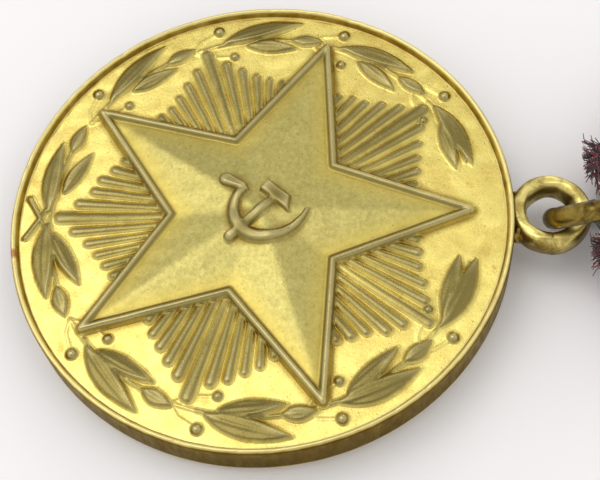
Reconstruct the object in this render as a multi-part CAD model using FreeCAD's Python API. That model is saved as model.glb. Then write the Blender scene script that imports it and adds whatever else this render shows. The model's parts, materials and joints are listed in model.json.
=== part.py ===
import FreeCAD, Part
import math
import os

# Military service medal: a struck brass disc with a soldered eyelet, a split jump ring, and a
# pentagonal ribbon block with a brooch pin on its back. Millimetres and degrees.
#
# Frame: the medal lies face up. The origin is the centre of the disc's flat back, +X runs across,
# +Y runs from the disc to the block, and +Z points out of the struck face.

V = FreeCAD.Vector
X_AXIS = V(1, 0, 0)
Y_AXIS = V(0, 1, 0)
Z_AXIS = V(0, 0, 1)

# ---- disc -------------------------------------------------------------------------------------
DISC_R = 16.0             # outer radius
DISC_T = 2.8              # thickness over the rim
RIM_W = 0.45              # width of the raised rim
RIM_CROWN_W = 0.27        # flat left on top of the rim between its rounded edges
FIELD_DROP = 0.55         # how far the field lies below the rim
GROOVE_W = 0.15           # fine groove at the foot of the rim
GROOVE_DEPTH = 0.10
BACK_GROOVE_IN = 1.2      # turned line on the back: distance in from the edge
BACK_GROOVE_W = 0.3
BACK_GROOVE_DEPTH = 0.15
EDGE_BREAK = 0.2          # chamfer on the back edge
SINK = 0.1                # how deep every relief form is rooted below the field

# ---- star -------------------------------------------------------------------------------------
STAR_TIP_R = 13.35        # ridge centre line at a point of the star
STAR_NOTCH_R = 5.72       # ridge centre line at an inner corner
STAR_TRIM_R = 13.7        # the points are rounded off at this radius
RIDGE_W = 0.5
RIDGE_H = 0.55            # top of the border ridge above the field
STAR_EDGE_H = 0.25        # face of the star at the foot of the ridge
STAR_PEAK_H = 0.60        # face of the star at its centre
STAR_POINTS = 5
STAR_STEP = 360.0 / STAR_POINTS

# ---- rays -------------------------------------------------------------------------------------
RAY_TIP_R = (13.45, 12.3, 11.6, 10.95, 10.6, 10.35)   # centre ray, then outwards
RAY_STEP = 4.9            # angle between neighbouring ray tips, seen from the centre
RAY_APEX_BACK = 2.0       # the rays of a bundle spread from this far behind the centre
RAY_TIP_W = 0.62
RAY_BASE_W = 0.42
RAY_MID_TIP_W = 0.85      # the centre ray of each bundle is the broad one
RAY_MID_BASE_W = 0.6
RAY_FLATS = (0, 60, 120, 180)   # corners of a ray's rounded section
RAY_END = ((0.40, 1.0), (0.0, 0.45))     # round outer end: distance back and width, as shares

# ---- wreath, right half: angle of the sprig, tip radii of its leaves, has a middle leaf ---------
SPRIGS = (
    (-88.5, 14.45, 12.2, True),
    (-49.5, 15.0, 12.85, True),
    (-12.5, 15.05, 12.95, True),
    (21.5, 14.55, 12.6, True),
    (54.5, 13.95, 12.85, False),
)
SPRIG_BASE_R = 13.75
INNER_BASE_R = 13.35
MIDDLE_BASE_R = 13.55
MIDDLE_TIP_R = 13.8
LEAF_SPAN = 22.0          # angle from a sprig's base to the tips of its long leaves
INNER_LEAF_START = 3.0
MIDDLE_LEAF_START = 20.0
MIDDLE_LEAF_END = 29.0
OUTER_LEAF_W = 1.35
INNER_LEAF_W = 1.05
MIDDLE_LEAF_W = 0.95
LEAF_H = 0.42             # mid-rib of a leaf above the field
LEAF_STATIONS = ((0.0, 0.08), (0.18, 0.68), (0.5, 1.0), (1.0, 0.06))   # along it: reach, width
OUTER_BERRY_R = 14.7      # distance of the outer berries from the centre
INNER_BERRY_R = 12.45
BERRY_AHEAD = 0.5         # berries sit this angle before the next sprig
INNER_BERRY_AHEAD = -2.5
OUTER_BERRY_SIZE = 0.40
INNER_BERRY_SIZE = 0.33
BERRY_H = 0.25
BERRY_CROWN = 0.6         # width of a berry's top as a share of its foot
BERRY_SIDES = 8
STEM_ENDS = ((1.35, -15.0), (-1.21, -13.48))   # the two stems cross below the star
STEM_W = 0.45

# ---- hammer and sickle at the centre ----------------------------------------------------------
EMBLEM_H = 0.35           # above the centre of the star
SHAFT_STEP = 0.1          # the hammer's shaft lies this far below its head
SICKLE_TIP = (0.05, 3.2)
SICKLE_BACK = ((1.75, 2.1), (2.4, 0.4), (0.85, -1.87), (-1.4, -1.5))
SICKLE_EDGE = ((-1.35, -0.7), (0.95, -0.98), (1.6, 0.3), (1.12, 1.87), (0.0, 2.95))
SICKLE_GRIP = ((-1.65, -1.2), (-2.15, -2.1))
SICKLE_GRIP_W = 0.9
HAMMER_HEAD = ((-2.05, 0.5), (-0.85, 1.95), (0.3, 1.85), (-0.4, 1.05), (-1.35, 0.0))
HAMMER_SHAFT = ((-0.7, 0.95), (1.9, -1.75))
HAMMER_SHAFT_W = 0.62

# ---- eyelet and jump ring ---------------------------------------------------------------------
EYELET_R = 2.5            # outer radius
EYELET_BORE_R = 1.45
EYELET_H = 1.7            # along the bore
EYELET_OUTLINE = ((0, 0.45), (0.12, 0.78), (0.35, 1), (0.65, 1), (0.88, 0.78), (1, 0.45))
EYELET_SEAT = 0.05        # flat filed on the eyelet where it meets the disc
SOLDER_W = 1.45           # the solder reaches this far to each side of the seat
SOLDER_H = 1.3
SOLDER_DIP = 0.1          # hollow of its outer face
RING_R = 3.0              # wire centre line
WIRE_R = 0.7
WIRE_SIDES = 12           # flats that stand for the wire's round section
RING_LEAN = 27.6          # the ring leans this far from upright
RING_TURN = 12.0          # and is turned this far about the vertical
RING_RISE = 0.6           # its centre lies this far above the disc's mid-plane
RING_SPLIT = 2.0          # angle of the gap where the wire's ends meet
RING_SPLIT_AT = 150.0     # where the split is, counted up and over from the medal's side
WIRE_IN_EYELET = (0.18, 0.03)   # where the wire crosses the eyelet's bore, from the bore's centre
WIRE_IN_LUG = (-0.44, 0.58)     # where it crosses at the lug, from the lug hole's centre

# ---- ribbon block: its own frame has the lug hole's centre at the origin ------------------------
LUG_HOLE_R = 1.8
LUG_R = 2.5               # rounded lug around the hole
LUG_DROP = 0.3            # the plate's mid-plane lies this far below the disc's
PLATE_W = 25.0
PLATE_H = 44.0            # from the lug hole to the top edge
PLATE_T = 1.0
PLATE_FOOT = 1.4          # straight lower edge: distance below the hole
PLATE_FOOT_HALF = 4.2
FOOT_HALF_SHRINK = 0.5    # an inset outline's foot narrows by this share of the inset
PLATE_SLOPE = 36.0        # of the two lower edges
RIBBON_T = 0.35
RIBBON_FOLD_IN = 3.0      # the folded edges lie this far onto the back
RIBBON_LUG_GAP = 0.4      # the ribbon is cut back this far round the lug
BACK_T = 0.7
BACK_INSET = 0.8          # back plate edge inside the front plate's edge
BACK_RISE = 4.0           # back plate starts this far above the lug hole

# ---- brooch pin on the back plate ---------------------------------------------------------------
PIN_Y = 36.0              # above the lug hole
PIN_WIRE_R = 0.45
PIN_HALF = 9.0            # hinge and catch are this far to each side of the middle
PIN_STAND = 1.5           # wire centre line behind the back plate
PIN_POINT = 2.2           # length of the ground point
PIN_POINT_R = 0.05
PIN_COIL_R = 1.05         # outside of the eye that turns on the pintle
PINTLE_R = 0.4
PINTLE_CLEAR = 0.05
PINTLE_HEAD = 0.2         # its heads stand out by this much, and are as thick
EAR_GAP = 0.06
EAR_T = 0.5
EAR_REACH = 2.3           # the ears stand this far behind the back plate
EAR_W = 1.9
FOOT_W = 4.4
FOOT_L = 3.4
CATCH_W = 3.0
CATCH_T = 0.4
CATCH_CLEAR = 0.08
RIVET_R = 0.45
RIVET_HEAD_R = 0.75
RIVET_HEAD_H = 0.3


# ---- helpers ----------------------------------------------------------------------------------
def polar(radius, angle, height=0.0):
    """Point at a radius and an angle in degrees from +X."""
    turn = math.radians(angle)
    return V(radius * math.cos(turn), radius * math.sin(turn), height)


def prism(points, low, high):
    """Straight prism over a polygon of (x, y) points."""
    corners = [V(x, y, low) for x, y in points]
    face = Part.Face(Part.makePolygon(corners + corners[:1]))
    return face.extrude(V(0, 0, high - low))


def slot(start, end, width, low, high):
    """Upright prism with round ends between two (x, y) points."""
    a = V(start[0], start[1], low)
    b = V(end[0], end[1], low)
    along = (b - a).normalize()
    side = V(-along.y, along.x, 0) * (width / 2)
    cap = along * (width / 2)
    wire = Part.Wire([
        Part.LineSegment(a + side, b + side).toShape(),
        Part.Arc(b + side, b + cap, b - side).toShape(),
        Part.LineSegment(b - side, a - side).toShape(),
        Part.Arc(a - side, a - cap, a + side).toShape(),
    ])
    return Part.Face(wire).extrude(V(0, 0, high - low))


def turned(profile, centre=V(0, 0, 0)):
    """Full turn about a vertical axis of a closed outline in the XZ plane."""
    return Part.Face(Part.makePolygon(profile + profile[:1])).revolve(centre, Z_AXIS, 360)


def mirrored(shapes):
    """The shapes and their mirror images across x = 0."""
    return shapes + [shape.mirror(V(0, 0, 0), X_AXIS) for shape in shapes]


def one_solid(shape):
    """The single solid of a Boolean result."""
    cleaned = shape.removeSplitter()
    if len(cleaned.Solids) != 1:
        raise RuntimeError("expected one solid, got %d" % len(cleaned.Solids))
    return cleaned.Solids[0]


# ---- medal disc -------------------------------------------------------------------------------
def disc_blank():
    """Turned blank: round-topped rim, groove, flat field, and a turned line on the flat back."""
    field = DISC_T - FIELD_DROP
    rim_in = DISC_R - RIM_W
    rim_round = RIM_W / 2
    rim_edge = (RIM_W - RIM_CROWN_W) / 2
    groove_in = rim_in - GROOVE_W
    line_out = DISC_R - BACK_GROOVE_IN
    line_in = line_out - BACK_GROOVE_W
    profile = [
        V(0, 0, 0), V(line_in, 0, 0),
        V((line_in + line_out) / 2, 0, BACK_GROOVE_DEPTH), V(line_out, 0, 0),
        V(DISC_R - EDGE_BREAK, 0, 0), V(DISC_R, 0, EDGE_BREAK), V(DISC_R, 0, DISC_T - rim_round),
        V(DISC_R - rim_edge, 0, DISC_T), V(rim_in + rim_edge, 0, DISC_T),
        V(rim_in, 0, DISC_T - rim_round), V(rim_in, 0, field - GROOVE_DEPTH),
        V(groove_in, 0, field - GROOVE_DEPTH), V(groove_in, 0, field), V(0, 0, field),
    ]
    return turned(profile)


def star_corners(offset, height):
    """Corners of the star's outline moved outwards by an offset, all at one height."""
    tip = V(0, STAR_TIP_R, 0)
    notch = polar(STAR_NOTCH_R, 90 + STAR_STEP / 2)
    edge_turn = math.atan2(tip.x - notch.x, tip.y - notch.y)
    tip_reach = offset / math.sin(edge_turn)
    notch_reach = offset / math.sin(edge_turn + math.radians(STAR_STEP / 2))
    corners = []
    for k in range(STAR_POINTS):
        corners.append(polar(STAR_TIP_R + tip_reach, 90 + k * STAR_STEP, height))
        corners.append(polar(STAR_NOTCH_R + notch_reach, 90 + (k + 0.5) * STAR_STEP, height))
    return corners


def star_shield():
    """Five-pointed star: creased faces that rise to the centre inside a rounded border ridge."""
    field = DISC_T - FIELD_DROP
    top = field + RIDGE_H
    shoulder = field + RIDGE_H * 0.75
    half = RIDGE_W / 2
    loops = [
        star_corners(half, field - SINK),
        star_corners(half, field + RIDGE_H * 0.45),
        star_corners(half * 0.7, shoulder),
        star_corners(half * 0.25, top),
        star_corners(-half * 0.25, top),
        star_corners(-half * 0.7, shoulder),
        star_corners(-half, field + STAR_EDGE_H),
    ]
    faces = [Part.Face(Part.makePolygon(loops[0] + loops[0][:1]))]
    count = len(loops[0])
    for low, high in zip(loops, loops[1:]):
        for k in range(count):
            n = (k + 1) % count
            faces.append(Part.Face(Part.makePolygon([low[k], low[n], high[n], high[k], low[k]])))
    peak = V(0, 0, field + STAR_PEAK_H)
    last = loops[-1]
    for k in range(count):
        n = (k + 1) % count
        faces.append(Part.Face(Part.makePolygon([last[k], last[n], peak, last[k]])))
    solid = Part.makeSolid(Part.makeShell(faces))
    if solid.Volume < 0:
        solid.reverse()
    trim = Part.makeCylinder(STAR_TRIM_R, DISC_T, V(0, 0, field - SINK))
    return solid.common(trim)


def ray_section(centre, direction, width):
    """Upright section of a ray: flats that follow a half circle, rooted below the field."""
    side = V(-direction.y, direction.x, 0) * (width / 2)
    root = V(0, 0, -SINK)
    corners = [side + root]
    for turn in RAY_FLATS:
        angle = math.radians(turn)
        corners.append(side * math.cos(angle) + V(0, 0, width / 2 * math.sin(angle)))
    corners.append(root - side)
    points = [centre + corner for corner in corners]
    return Part.makePolygon(points + points[:1])


def ray(apex, direction, start, end, base_w, tip_w, height):
    """Tapering rod with a round outer end, lying half sunk on the field."""
    stations = [(start, base_w)] + [(end - tip_w * back, tip_w * share) for back, share in RAY_END]
    sections = [ray_section(apex + direction * reach + V(0, 0, height), direction, width)
                for reach, width in stations]
    return Part.makeLoft(sections, True, True)


def distance_to_star_edge(apex_back, slant):
    """Distance from a bundle's apex to the star's edge, along a ray at an angle to the bundle."""
    notch = V(STAR_NOTCH_R, 0, 0)
    tip = polar(STAR_TIP_R, STAR_STEP / 2)
    edge = tip - notch
    turn = math.radians(slant)
    start = V(-apex_back, 0, 0)
    gap = notch - start
    return (gap.x * edge.y - gap.y * edge.x) / (math.cos(turn) * edge.y - math.sin(turn) * edge.x)


def ray_bundles():
    """Five bundles of rays between the points of the star."""
    field = DISC_T - FIELD_DROP
    rays = []
    for bundle in range(STAR_POINTS):
        axis = 90 + (bundle + 0.5) * STAR_STEP
        apex = polar(-RAY_APEX_BACK, axis)
        for k in range(1 - len(RAY_TIP_R), len(RAY_TIP_R)):
            tip = polar(RAY_TIP_R[abs(k)], axis + k * RAY_STEP)
            reach = (tip - apex).Length
            direction = (tip - apex).normalize()
            slant = math.degrees(direction.getAngle(polar(1, axis)))
            start = distance_to_star_edge(RAY_APEX_BACK, slant)
            base_w = RAY_MID_BASE_W if k == 0 else RAY_BASE_W
            tip_w = RAY_MID_TIP_W if k == 0 else RAY_TIP_W
            rays.append(ray(apex, direction, start, reach, base_w, tip_w, field))
    return rays


def leaf(base, tip, width):
    """Pointed leaf: a loft along its run, whose sections rise on both sides to the mid-rib."""
    run = tip - base
    side = V(-run.y, run.x, 0).normalize() * (width / 2)
    floor = V(0, 0, DISC_T - FIELD_DROP)
    sections = []
    for reach, share in LEAF_STATIONS:
        centre = base + run * reach + floor
        foot = side * (share + SINK / LEAF_H)
        low = centre - V(0, 0, SINK)
        points = [low + foot, centre + V(0, 0, LEAF_H * share), low - foot]
        sections.append(Part.makePolygon(points + points[:1]))
    return Part.makeLoft(sections, True, True)


def berry(radius, angle, size):
    """Low round berry on the field."""
    centre = polar(radius, angle, DISC_T - FIELD_DROP)
    rings = []
    for width, height in ((size, -SINK), (size, 0), (size * BERRY_CROWN, BERRY_H)):
        points = [centre + polar(width, side * 360 / BERRY_SIDES, height)
                  for side in range(BERRY_SIDES)]
        rings.append(Part.makePolygon(points + points[:1]))
    return Part.makeLoft(rings, True, True)


def wreath_half():
    """Right half of the wreath: leaves, berries and the crossing stem."""
    field = DISC_T - FIELD_DROP
    shapes = []
    for angle, outer_tip, inner_tip, has_middle in SPRIGS:
        end = angle + LEAF_SPAN
        shapes.append(leaf(polar(SPRIG_BASE_R, angle), polar(outer_tip, end), OUTER_LEAF_W))
        start = polar(INNER_BASE_R, angle + INNER_LEAF_START)
        shapes.append(leaf(start, polar(inner_tip, end), INNER_LEAF_W))
        if has_middle:
            base = polar(MIDDLE_BASE_R, angle + MIDDLE_LEAF_START)
            tip = polar(MIDDLE_TIP_R, angle + MIDDLE_LEAF_END)
            shapes.append(leaf(base, tip, MIDDLE_LEAF_W))
    for sprig in SPRIGS[1:]:
        angle = sprig[0]
        shapes.append(berry(OUTER_BERRY_R, angle - BERRY_AHEAD, OUTER_BERRY_SIZE))
        shapes.append(berry(INNER_BERRY_R, angle - INNER_BERRY_AHEAD, INNER_BERRY_SIZE))
    low, high = (V(x, y, 0) for x, y in STEM_ENDS)
    length = (high - low).Length
    return shapes + [ray(low, (high - low).normalize(), 0, length, STEM_W, STEM_W, field)]


def arc_chain(points):
    """Edges of the arcs through points 0-1-2, 2-3-4, and so on."""
    return [Part.Arc(points[i], points[i + 1], points[i + 2]).toShape()
            for i in range(0, len(points) - 2, 2)]


def emblem():
    """Hammer and sickle in flat relief on the middle of the star."""
    low = DISC_T - FIELD_DROP
    high = low + STAR_PEAK_H + EMBLEM_H
    back = [V(x, y, low) for x, y in (SICKLE_TIP,) + SICKLE_BACK]
    edge = [V(x, y, low) for x, y in SICKLE_EDGE]
    edges = arc_chain(back) + [Part.LineSegment(back[-1], edge[0]).toShape()]
    edges += arc_chain(edge) + [Part.LineSegment(edge[-1], back[0]).toShape()]
    blade = Part.Face(Part.Wire(edges)).extrude(V(0, 0, high - low))
    return [
        blade,
        slot(SICKLE_GRIP[0], SICKLE_GRIP[1], SICKLE_GRIP_W, low, high),
        slot(HAMMER_SHAFT[0], HAMMER_SHAFT[1], HAMMER_SHAFT_W, low, high - SHAFT_STEP),
        prism(HAMMER_HEAD, low, high),
    ]


def medal_disc():
    """The struck disc as one piece."""
    relief = [star_shield()] + ray_bundles() + emblem() + mirrored(wreath_half())
    return one_solid(disc_blank().multiFuse(relief))


# ---- eyelet, solder and jump ring ---------------------------------------------------------------
def eyelet_centre():
    """Centre of the eyelet's bore, level with the disc's mid-plane."""
    return V(0, DISC_R + EYELET_R - EYELET_SEAT, DISC_T / 2)


def eyelet_ring():
    """Ring with well rounded edges and its bore along Z."""
    middle = eyelet_centre()
    wall = EYELET_R - EYELET_BORE_R
    half = EYELET_H / 2
    outline = EYELET_OUTLINE + tuple((across, -up) for across, up in reversed(EYELET_OUTLINE))
    return turned([middle + V(EYELET_BORE_R + wall * across, 0, half * up)
                   for across, up in outline], middle)


def suspension_eyelet(disc_wall):
    """Eyelet ring filed flat where it meets the disc's edge."""
    return one_solid(eyelet_ring().cut(disc_wall))


def eyelet_solder(disc_wall):
    """Solder that fills the two corners between the eyelet and the disc's edge."""
    middle = eyelet_centre()
    low = middle.z - SOLDER_H / 2
    edge_y = math.sqrt(DISC_R ** 2 - SOLDER_W ** 2)
    seat_y = DISC_R - EYELET_SEAT
    reach_y = middle.y - math.sqrt(EYELET_R ** 2 - SOLDER_W ** 2)
    dip = V(SOLDER_W - SOLDER_DIP, (edge_y + reach_y) / 2, low)
    wire = Part.Wire([
        Part.LineSegment(V(0, seat_y, low), V(0, reach_y, low)).toShape(),
        Part.LineSegment(V(0, reach_y, low), V(SOLDER_W, reach_y, low)).toShape(),
        Part.Arc(V(SOLDER_W, reach_y, low), dip, V(SOLDER_W, edge_y, low)).toShape(),
        Part.LineSegment(V(SOLDER_W, edge_y, low), V(0, seat_y, low)).toShape(),
    ])
    wedge = Part.Face(wire).extrude(V(0, 0, SOLDER_H))
    solid_eyelet = eyelet_ring().fuse(Part.makeCylinder(EYELET_BORE_R, EYELET_H,
                                                        middle - V(0, 0, EYELET_H / 2)))
    sides = mirrored([wedge.cut(disc_wall).cut(solid_eyelet)])
    return Part.makeCompound([side.Solids[0] for side in sides])


def ring_directions():
    """The ring's two in-plane directions, level and upright, and its own axis."""
    turn = math.radians(RING_TURN)
    lean = math.radians(RING_LEAN)
    level = V(-math.sin(turn), math.cos(turn), 0)
    upright = V(math.cos(turn), math.sin(turn), 0) * math.sin(lean) + Z_AXIS * math.cos(lean)
    return level, upright, upright.cross(level)


def ring_centre():
    """The wire passes down through the eyelet, so the ring's centre follows from the bore."""
    level, upright, _ = ring_directions()
    climb = RING_RISE / upright.z
    half_chord = math.sqrt(RING_R ** 2 - climb ** 2)
    crossing = eyelet_centre() + V(WIRE_IN_EYELET[0], WIRE_IN_EYELET[1], 0)
    return crossing + level * half_chord + upright * climb


def lug_centre():
    """The wire comes up through the lug hole on the ring's other side."""
    level, upright, _ = ring_directions()
    climb = RING_RISE / upright.z
    half_chord = math.sqrt(RING_R ** 2 - climb ** 2)
    crossing = ring_centre() - upright * climb + level * half_chord
    return crossing - V(WIRE_IN_LUG[0], WIRE_IN_LUG[1], LUG_DROP)


def jump_ring():
    """Round wire bent to a ring, with a fine split where its ends meet."""
    centre = ring_centre()
    level, upright, axis = ring_directions()
    split = math.radians(RING_SPLIT_AT + RING_SPLIT / 2)
    outward = level * -math.cos(split) + upright * math.sin(split)
    start = centre + outward * RING_R
    corners = []
    for side in range(WIRE_SIDES):
        turn = math.radians((side + 0.5) * 360 / WIRE_SIDES)
        corners.append(start + (outward * math.cos(turn) + axis * math.sin(turn)) * WIRE_R)
    section = Part.Face(Part.makePolygon(corners + corners[:1]))
    return section.revolve(centre, axis, 360 - RING_SPLIT)


# ---- ribbon block -----------------------------------------------------------------------------
def placed(shape):
    """Move a shape from the block's own frame to where the block lies."""
    return shape.translated(lug_centre())


def block_outline(inset, top, foot):
    """Pentagon of the block, moved inwards by an inset; foot is the depth of its lower edge."""
    half = PLATE_W / 2 - inset
    rise = math.tan(math.radians(PLATE_SLOPE))
    foot_half = PLATE_FOOT_HALF - inset * FOOT_HALF_SHRINK
    shoulder = -foot + (half - foot_half) * rise
    return [(-half, top), (-half, shoulder), (-foot_half, -foot),
            (foot_half, -foot), (half, shoulder), (half, top)]


def front_plate():
    """Stamped pentagonal plate with a rounded lug and its hole at the lower end."""
    low = -PLATE_T / 2
    high = PLATE_T / 2
    plate = prism(block_outline(0, PLATE_H, PLATE_FOOT), low, high)
    lug = Part.makeCylinder(LUG_R, PLATE_T, V(0, 0, low))
    hole = Part.makeCylinder(LUG_HOLE_R, PLATE_T, V(0, 0, low))
    return placed(one_solid(plate.fuse(lug).cut(hole)))


def ribbon():
    """Ribbon folded round the front plate: full front, narrow turned-in margins on the back."""
    half = PLATE_T / 2
    skin = block_outline(-RIBBON_T, PLATE_H + RIBBON_T, PLATE_FOOT + RIBBON_T)
    wrap = prism(skin, -half - RIBBON_T, half + RIBBON_T)
    core = prism(block_outline(0, PLATE_H, PLATE_FOOT), -half, half)
    window = prism(block_outline(RIBBON_FOLD_IN, PLATE_H - RIBBON_FOLD_IN, -BACK_RISE),
                   -half - RIBBON_T, -half)
    clear = Part.makeCylinder(LUG_R + RIBBON_LUG_GAP, PLATE_T + 2 * RIBBON_T,
                              V(0, 0, -half - RIBBON_T))
    return placed(one_solid(wrap.cut(core).cut(window).cut(clear)))


def back_plane():
    """Height of the back plate's outer face in the block's own frame."""
    return -PLATE_T / 2 - RIBBON_T - BACK_T


def back_plate():
    """Plate that holds down the ribbon's turned-in edges and carries the pin."""
    outline = block_outline(BACK_INSET, PLATE_H - BACK_INSET, PLATE_FOOT - BACK_INSET)
    plate = prism(outline, back_plane(), back_plane() + BACK_T)
    clear = Part.makeBox(PLATE_W, BACK_RISE * 2, BACK_T,
                         V(-PLATE_W / 2, -BACK_RISE, back_plane()))
    plate = plate.cut(clear)
    for x, y in rivet_places():
        plate = plate.cut(Part.makeCylinder(RIVET_R, BACK_T, V(x, y, back_plane())))
    return placed(one_solid(plate))


def rivet_places():
    """The hinge foot and the catch foot are each held by two rivets."""
    return [(side * PIN_HALF, PIN_Y + end * (FOOT_L / 2 + EAR_T))
            for side in (-1, 1) for end in (-1, 1)]


def foot(x):
    """Thin foot of the hinge or the catch, drilled for its rivets."""
    length = FOOT_L + 2 * EAR_T + 2 * RIVET_HEAD_R
    plate = Part.makeBox(FOOT_W, length, CATCH_T,
                         V(x - FOOT_W / 2, PIN_Y - length / 2, back_plane() - CATCH_T))
    for rivet_x, rivet_y in rivet_places():
        plate = plate.cut(Part.makeCylinder(RIVET_R, CATCH_T,
                                            V(rivet_x, rivet_y, back_plane() - CATCH_T)))
    return plate


def pin_height():
    """Height of the needle's centre line in the block's own frame."""
    return back_plane() - PIN_STAND


def pin_hinge():
    """Foot with two ears that carry the pintle."""
    shape = foot(PIN_HALF)
    gap = PIN_WIRE_R + EAR_GAP
    for side in (-1, 1):
        start = PIN_Y + gap if side > 0 else PIN_Y - gap - EAR_T
        ear = Part.makeBox(EAR_W, EAR_T, EAR_REACH - CATCH_T,
                           V(PIN_HALF - EAR_W / 2, start, back_plane() - EAR_REACH))
        shape = shape.fuse(ear)
    bore = Part.makeCylinder(PINTLE_R, PIN_Y, V(PIN_HALF, PIN_Y / 2, pin_height()), Y_AXIS)
    return placed(one_solid(shape.cut(bore)))


def pin_pintle():
    """Headed cross pin through the two ears."""
    half = PIN_WIRE_R + EAR_GAP + EAR_T
    start = V(PIN_HALF, PIN_Y - half, pin_height())
    shaft = Part.makeCylinder(PINTLE_R, 2 * half, start, Y_AXIS)
    heads = [Part.makeCylinder(PINTLE_R + PINTLE_HEAD, PINTLE_HEAD, start + V(0, reach, 0), Y_AXIS)
             for reach in (-PINTLE_HEAD, 2 * half)]
    return placed(one_solid(shaft.multiFuse(heads)))


def pin_needle():
    """Steel wire with an eye round the pintle and a ground point in the catch."""
    z = pin_height()
    eye = Part.makeCylinder(PIN_COIL_R, 2 * PIN_WIRE_R, V(PIN_HALF, PIN_Y - PIN_WIRE_R, z), Y_AXIS)
    shaft_end = -PIN_HALF - CATCH_W / 2
    shaft = Part.makeCylinder(PIN_WIRE_R, PIN_HALF - shaft_end, V(PIN_HALF, PIN_Y, z), V(-1, 0, 0))
    point = Part.makeCone(PIN_WIRE_R, PIN_POINT_R, PIN_POINT, V(shaft_end, PIN_Y, z), V(-1, 0, 0))
    bore = Part.makeCylinder(PINTLE_R + PINTLE_CLEAR, 4 * PIN_WIRE_R,
                             V(PIN_HALF, PIN_Y - 2 * PIN_WIRE_R, z), Y_AXIS)
    return placed(one_solid(eye.multiFuse([shaft, point]).cut(bore)))


def pin_catch():
    """Foot with a trough, open at the back, that the needle snaps into."""
    inner = PIN_WIRE_R + CATCH_CLEAR
    outer = inner + CATCH_T
    x = -PIN_HALF - CATCH_W / 2
    low = pin_height() - PIN_WIRE_R
    walls = Part.makeBox(CATCH_W, 2 * outer, back_plane() - CATCH_T - low, V(x, PIN_Y - outer, low))
    floor = pin_height() + inner
    trough = Part.makeBox(CATCH_W, 2 * inner, floor - low, V(x, PIN_Y - inner, low))
    return placed(one_solid(foot(-PIN_HALF).fuse(walls).cut(trough)))


def back_rivets():
    """Four rivets that hold the hinge and the catch to the back plate."""
    rivets = []
    top = back_plane() + BACK_T
    length = BACK_T + CATCH_T
    for x, y in rivet_places():
        shank = Part.makeCylinder(RIVET_R, length, V(x, y, top - length))
        head = Part.makeCylinder(RIVET_HEAD_R, RIVET_HEAD_H, V(x, y, top - length - RIVET_HEAD_H))
        rivets.append(placed(one_solid(shank.fuse(head))))
    return Part.makeCompound(rivets)


# ---- build ------------------------------------------------------------------------------------
def build():
    """Every node of the medal by name."""
    disc_wall = Part.makeCylinder(DISC_R, DISC_T)
    return {
        "medal_disc": medal_disc(),
        "suspension_eyelet": suspension_eyelet(disc_wall),
        "eyelet_solder": eyelet_solder(disc_wall),
        "jump_ring": jump_ring(),
        "front_plate": front_plate(),
        "ribbon": ribbon(),
        "back_plate": back_plate(),
        "pin_hinge": pin_hinge(),
        "pin_pintle": pin_pintle(),
        "pin_needle": pin_needle(),
        "pin_catch": pin_catch(),
        "back_rivets": back_rivets(),
    }


os.makedirs("parts", exist_ok=True)
for name, shape in build().items():
    shape.exportStep("parts/%s.step" % name)
    print("%-20s solids %2d  valid %s" % (name, len(shape.Solids), shape.isValid()))
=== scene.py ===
"""Looks of a military service medal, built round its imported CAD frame.

The medal lies face up: a struck brass disc with a star, rays and a wreath, an eyelet, a jump ring
and the ribbon block. Lengths are millimetres in the row frame until a mesh is made, which is in
metres.
"""

from __future__ import annotations

import json
import logging
import math
from dataclasses import dataclass
from enum import Enum
from functools import partial
from typing import Callable, Sequence

import bpy
import numpy as np
from mathutils import Matrix, Vector


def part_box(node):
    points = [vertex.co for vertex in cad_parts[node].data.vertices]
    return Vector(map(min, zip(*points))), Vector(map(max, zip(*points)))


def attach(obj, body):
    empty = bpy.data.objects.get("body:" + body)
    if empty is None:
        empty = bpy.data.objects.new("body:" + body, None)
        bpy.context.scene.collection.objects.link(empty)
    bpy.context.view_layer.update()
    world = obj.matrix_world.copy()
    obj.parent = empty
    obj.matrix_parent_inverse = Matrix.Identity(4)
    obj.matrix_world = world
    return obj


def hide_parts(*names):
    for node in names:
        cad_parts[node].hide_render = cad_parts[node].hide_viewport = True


logging.basicConfig(level=logging.INFO, format="%(levelname)s %(message)s")
LOG = logging.getLogger("medal")

MM = 0.001
SEED = 20

Array = np.ndarray
Point = tuple[float, float]
Height = Callable[[Array, Array], Array]
Feed = bpy.types.NodeSocket | str | float | Sequence[float]
Adder = Callable[..., bpy.types.NodeSocket]
Surface = tuple[bpy.types.NodeSocket, bpy.types.NodeSocket, bpy.types.NodeSocket]
Layer = tuple[bpy.types.NodeSocket, float, float, float, Feed]


@dataclass(frozen=True)
class StarSizes:
    """Sizes of the star in millimetres, above the field and from the centre.

    Attributes:
        tip_r: Radius of the points.
        notch_r: Radius of the inner corners.
        points: Number of points.
        ridge_w: Width of the border ridge.
        ridge_h: Height of the border ridge.
        edge_h: Height of the faces at the border.
        peak_h: Height of the faces at the centre.
        soften: Blur of the creases.
    """

    tip_r: float = 13.35
    notch_r: float = 5.72
    points: int = 5
    ridge_w: float = 0.66
    ridge_h: float = 0.48
    edge_h: float = 0.20
    peak_h: float = 1.02
    soften: float = 0.12


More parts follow.
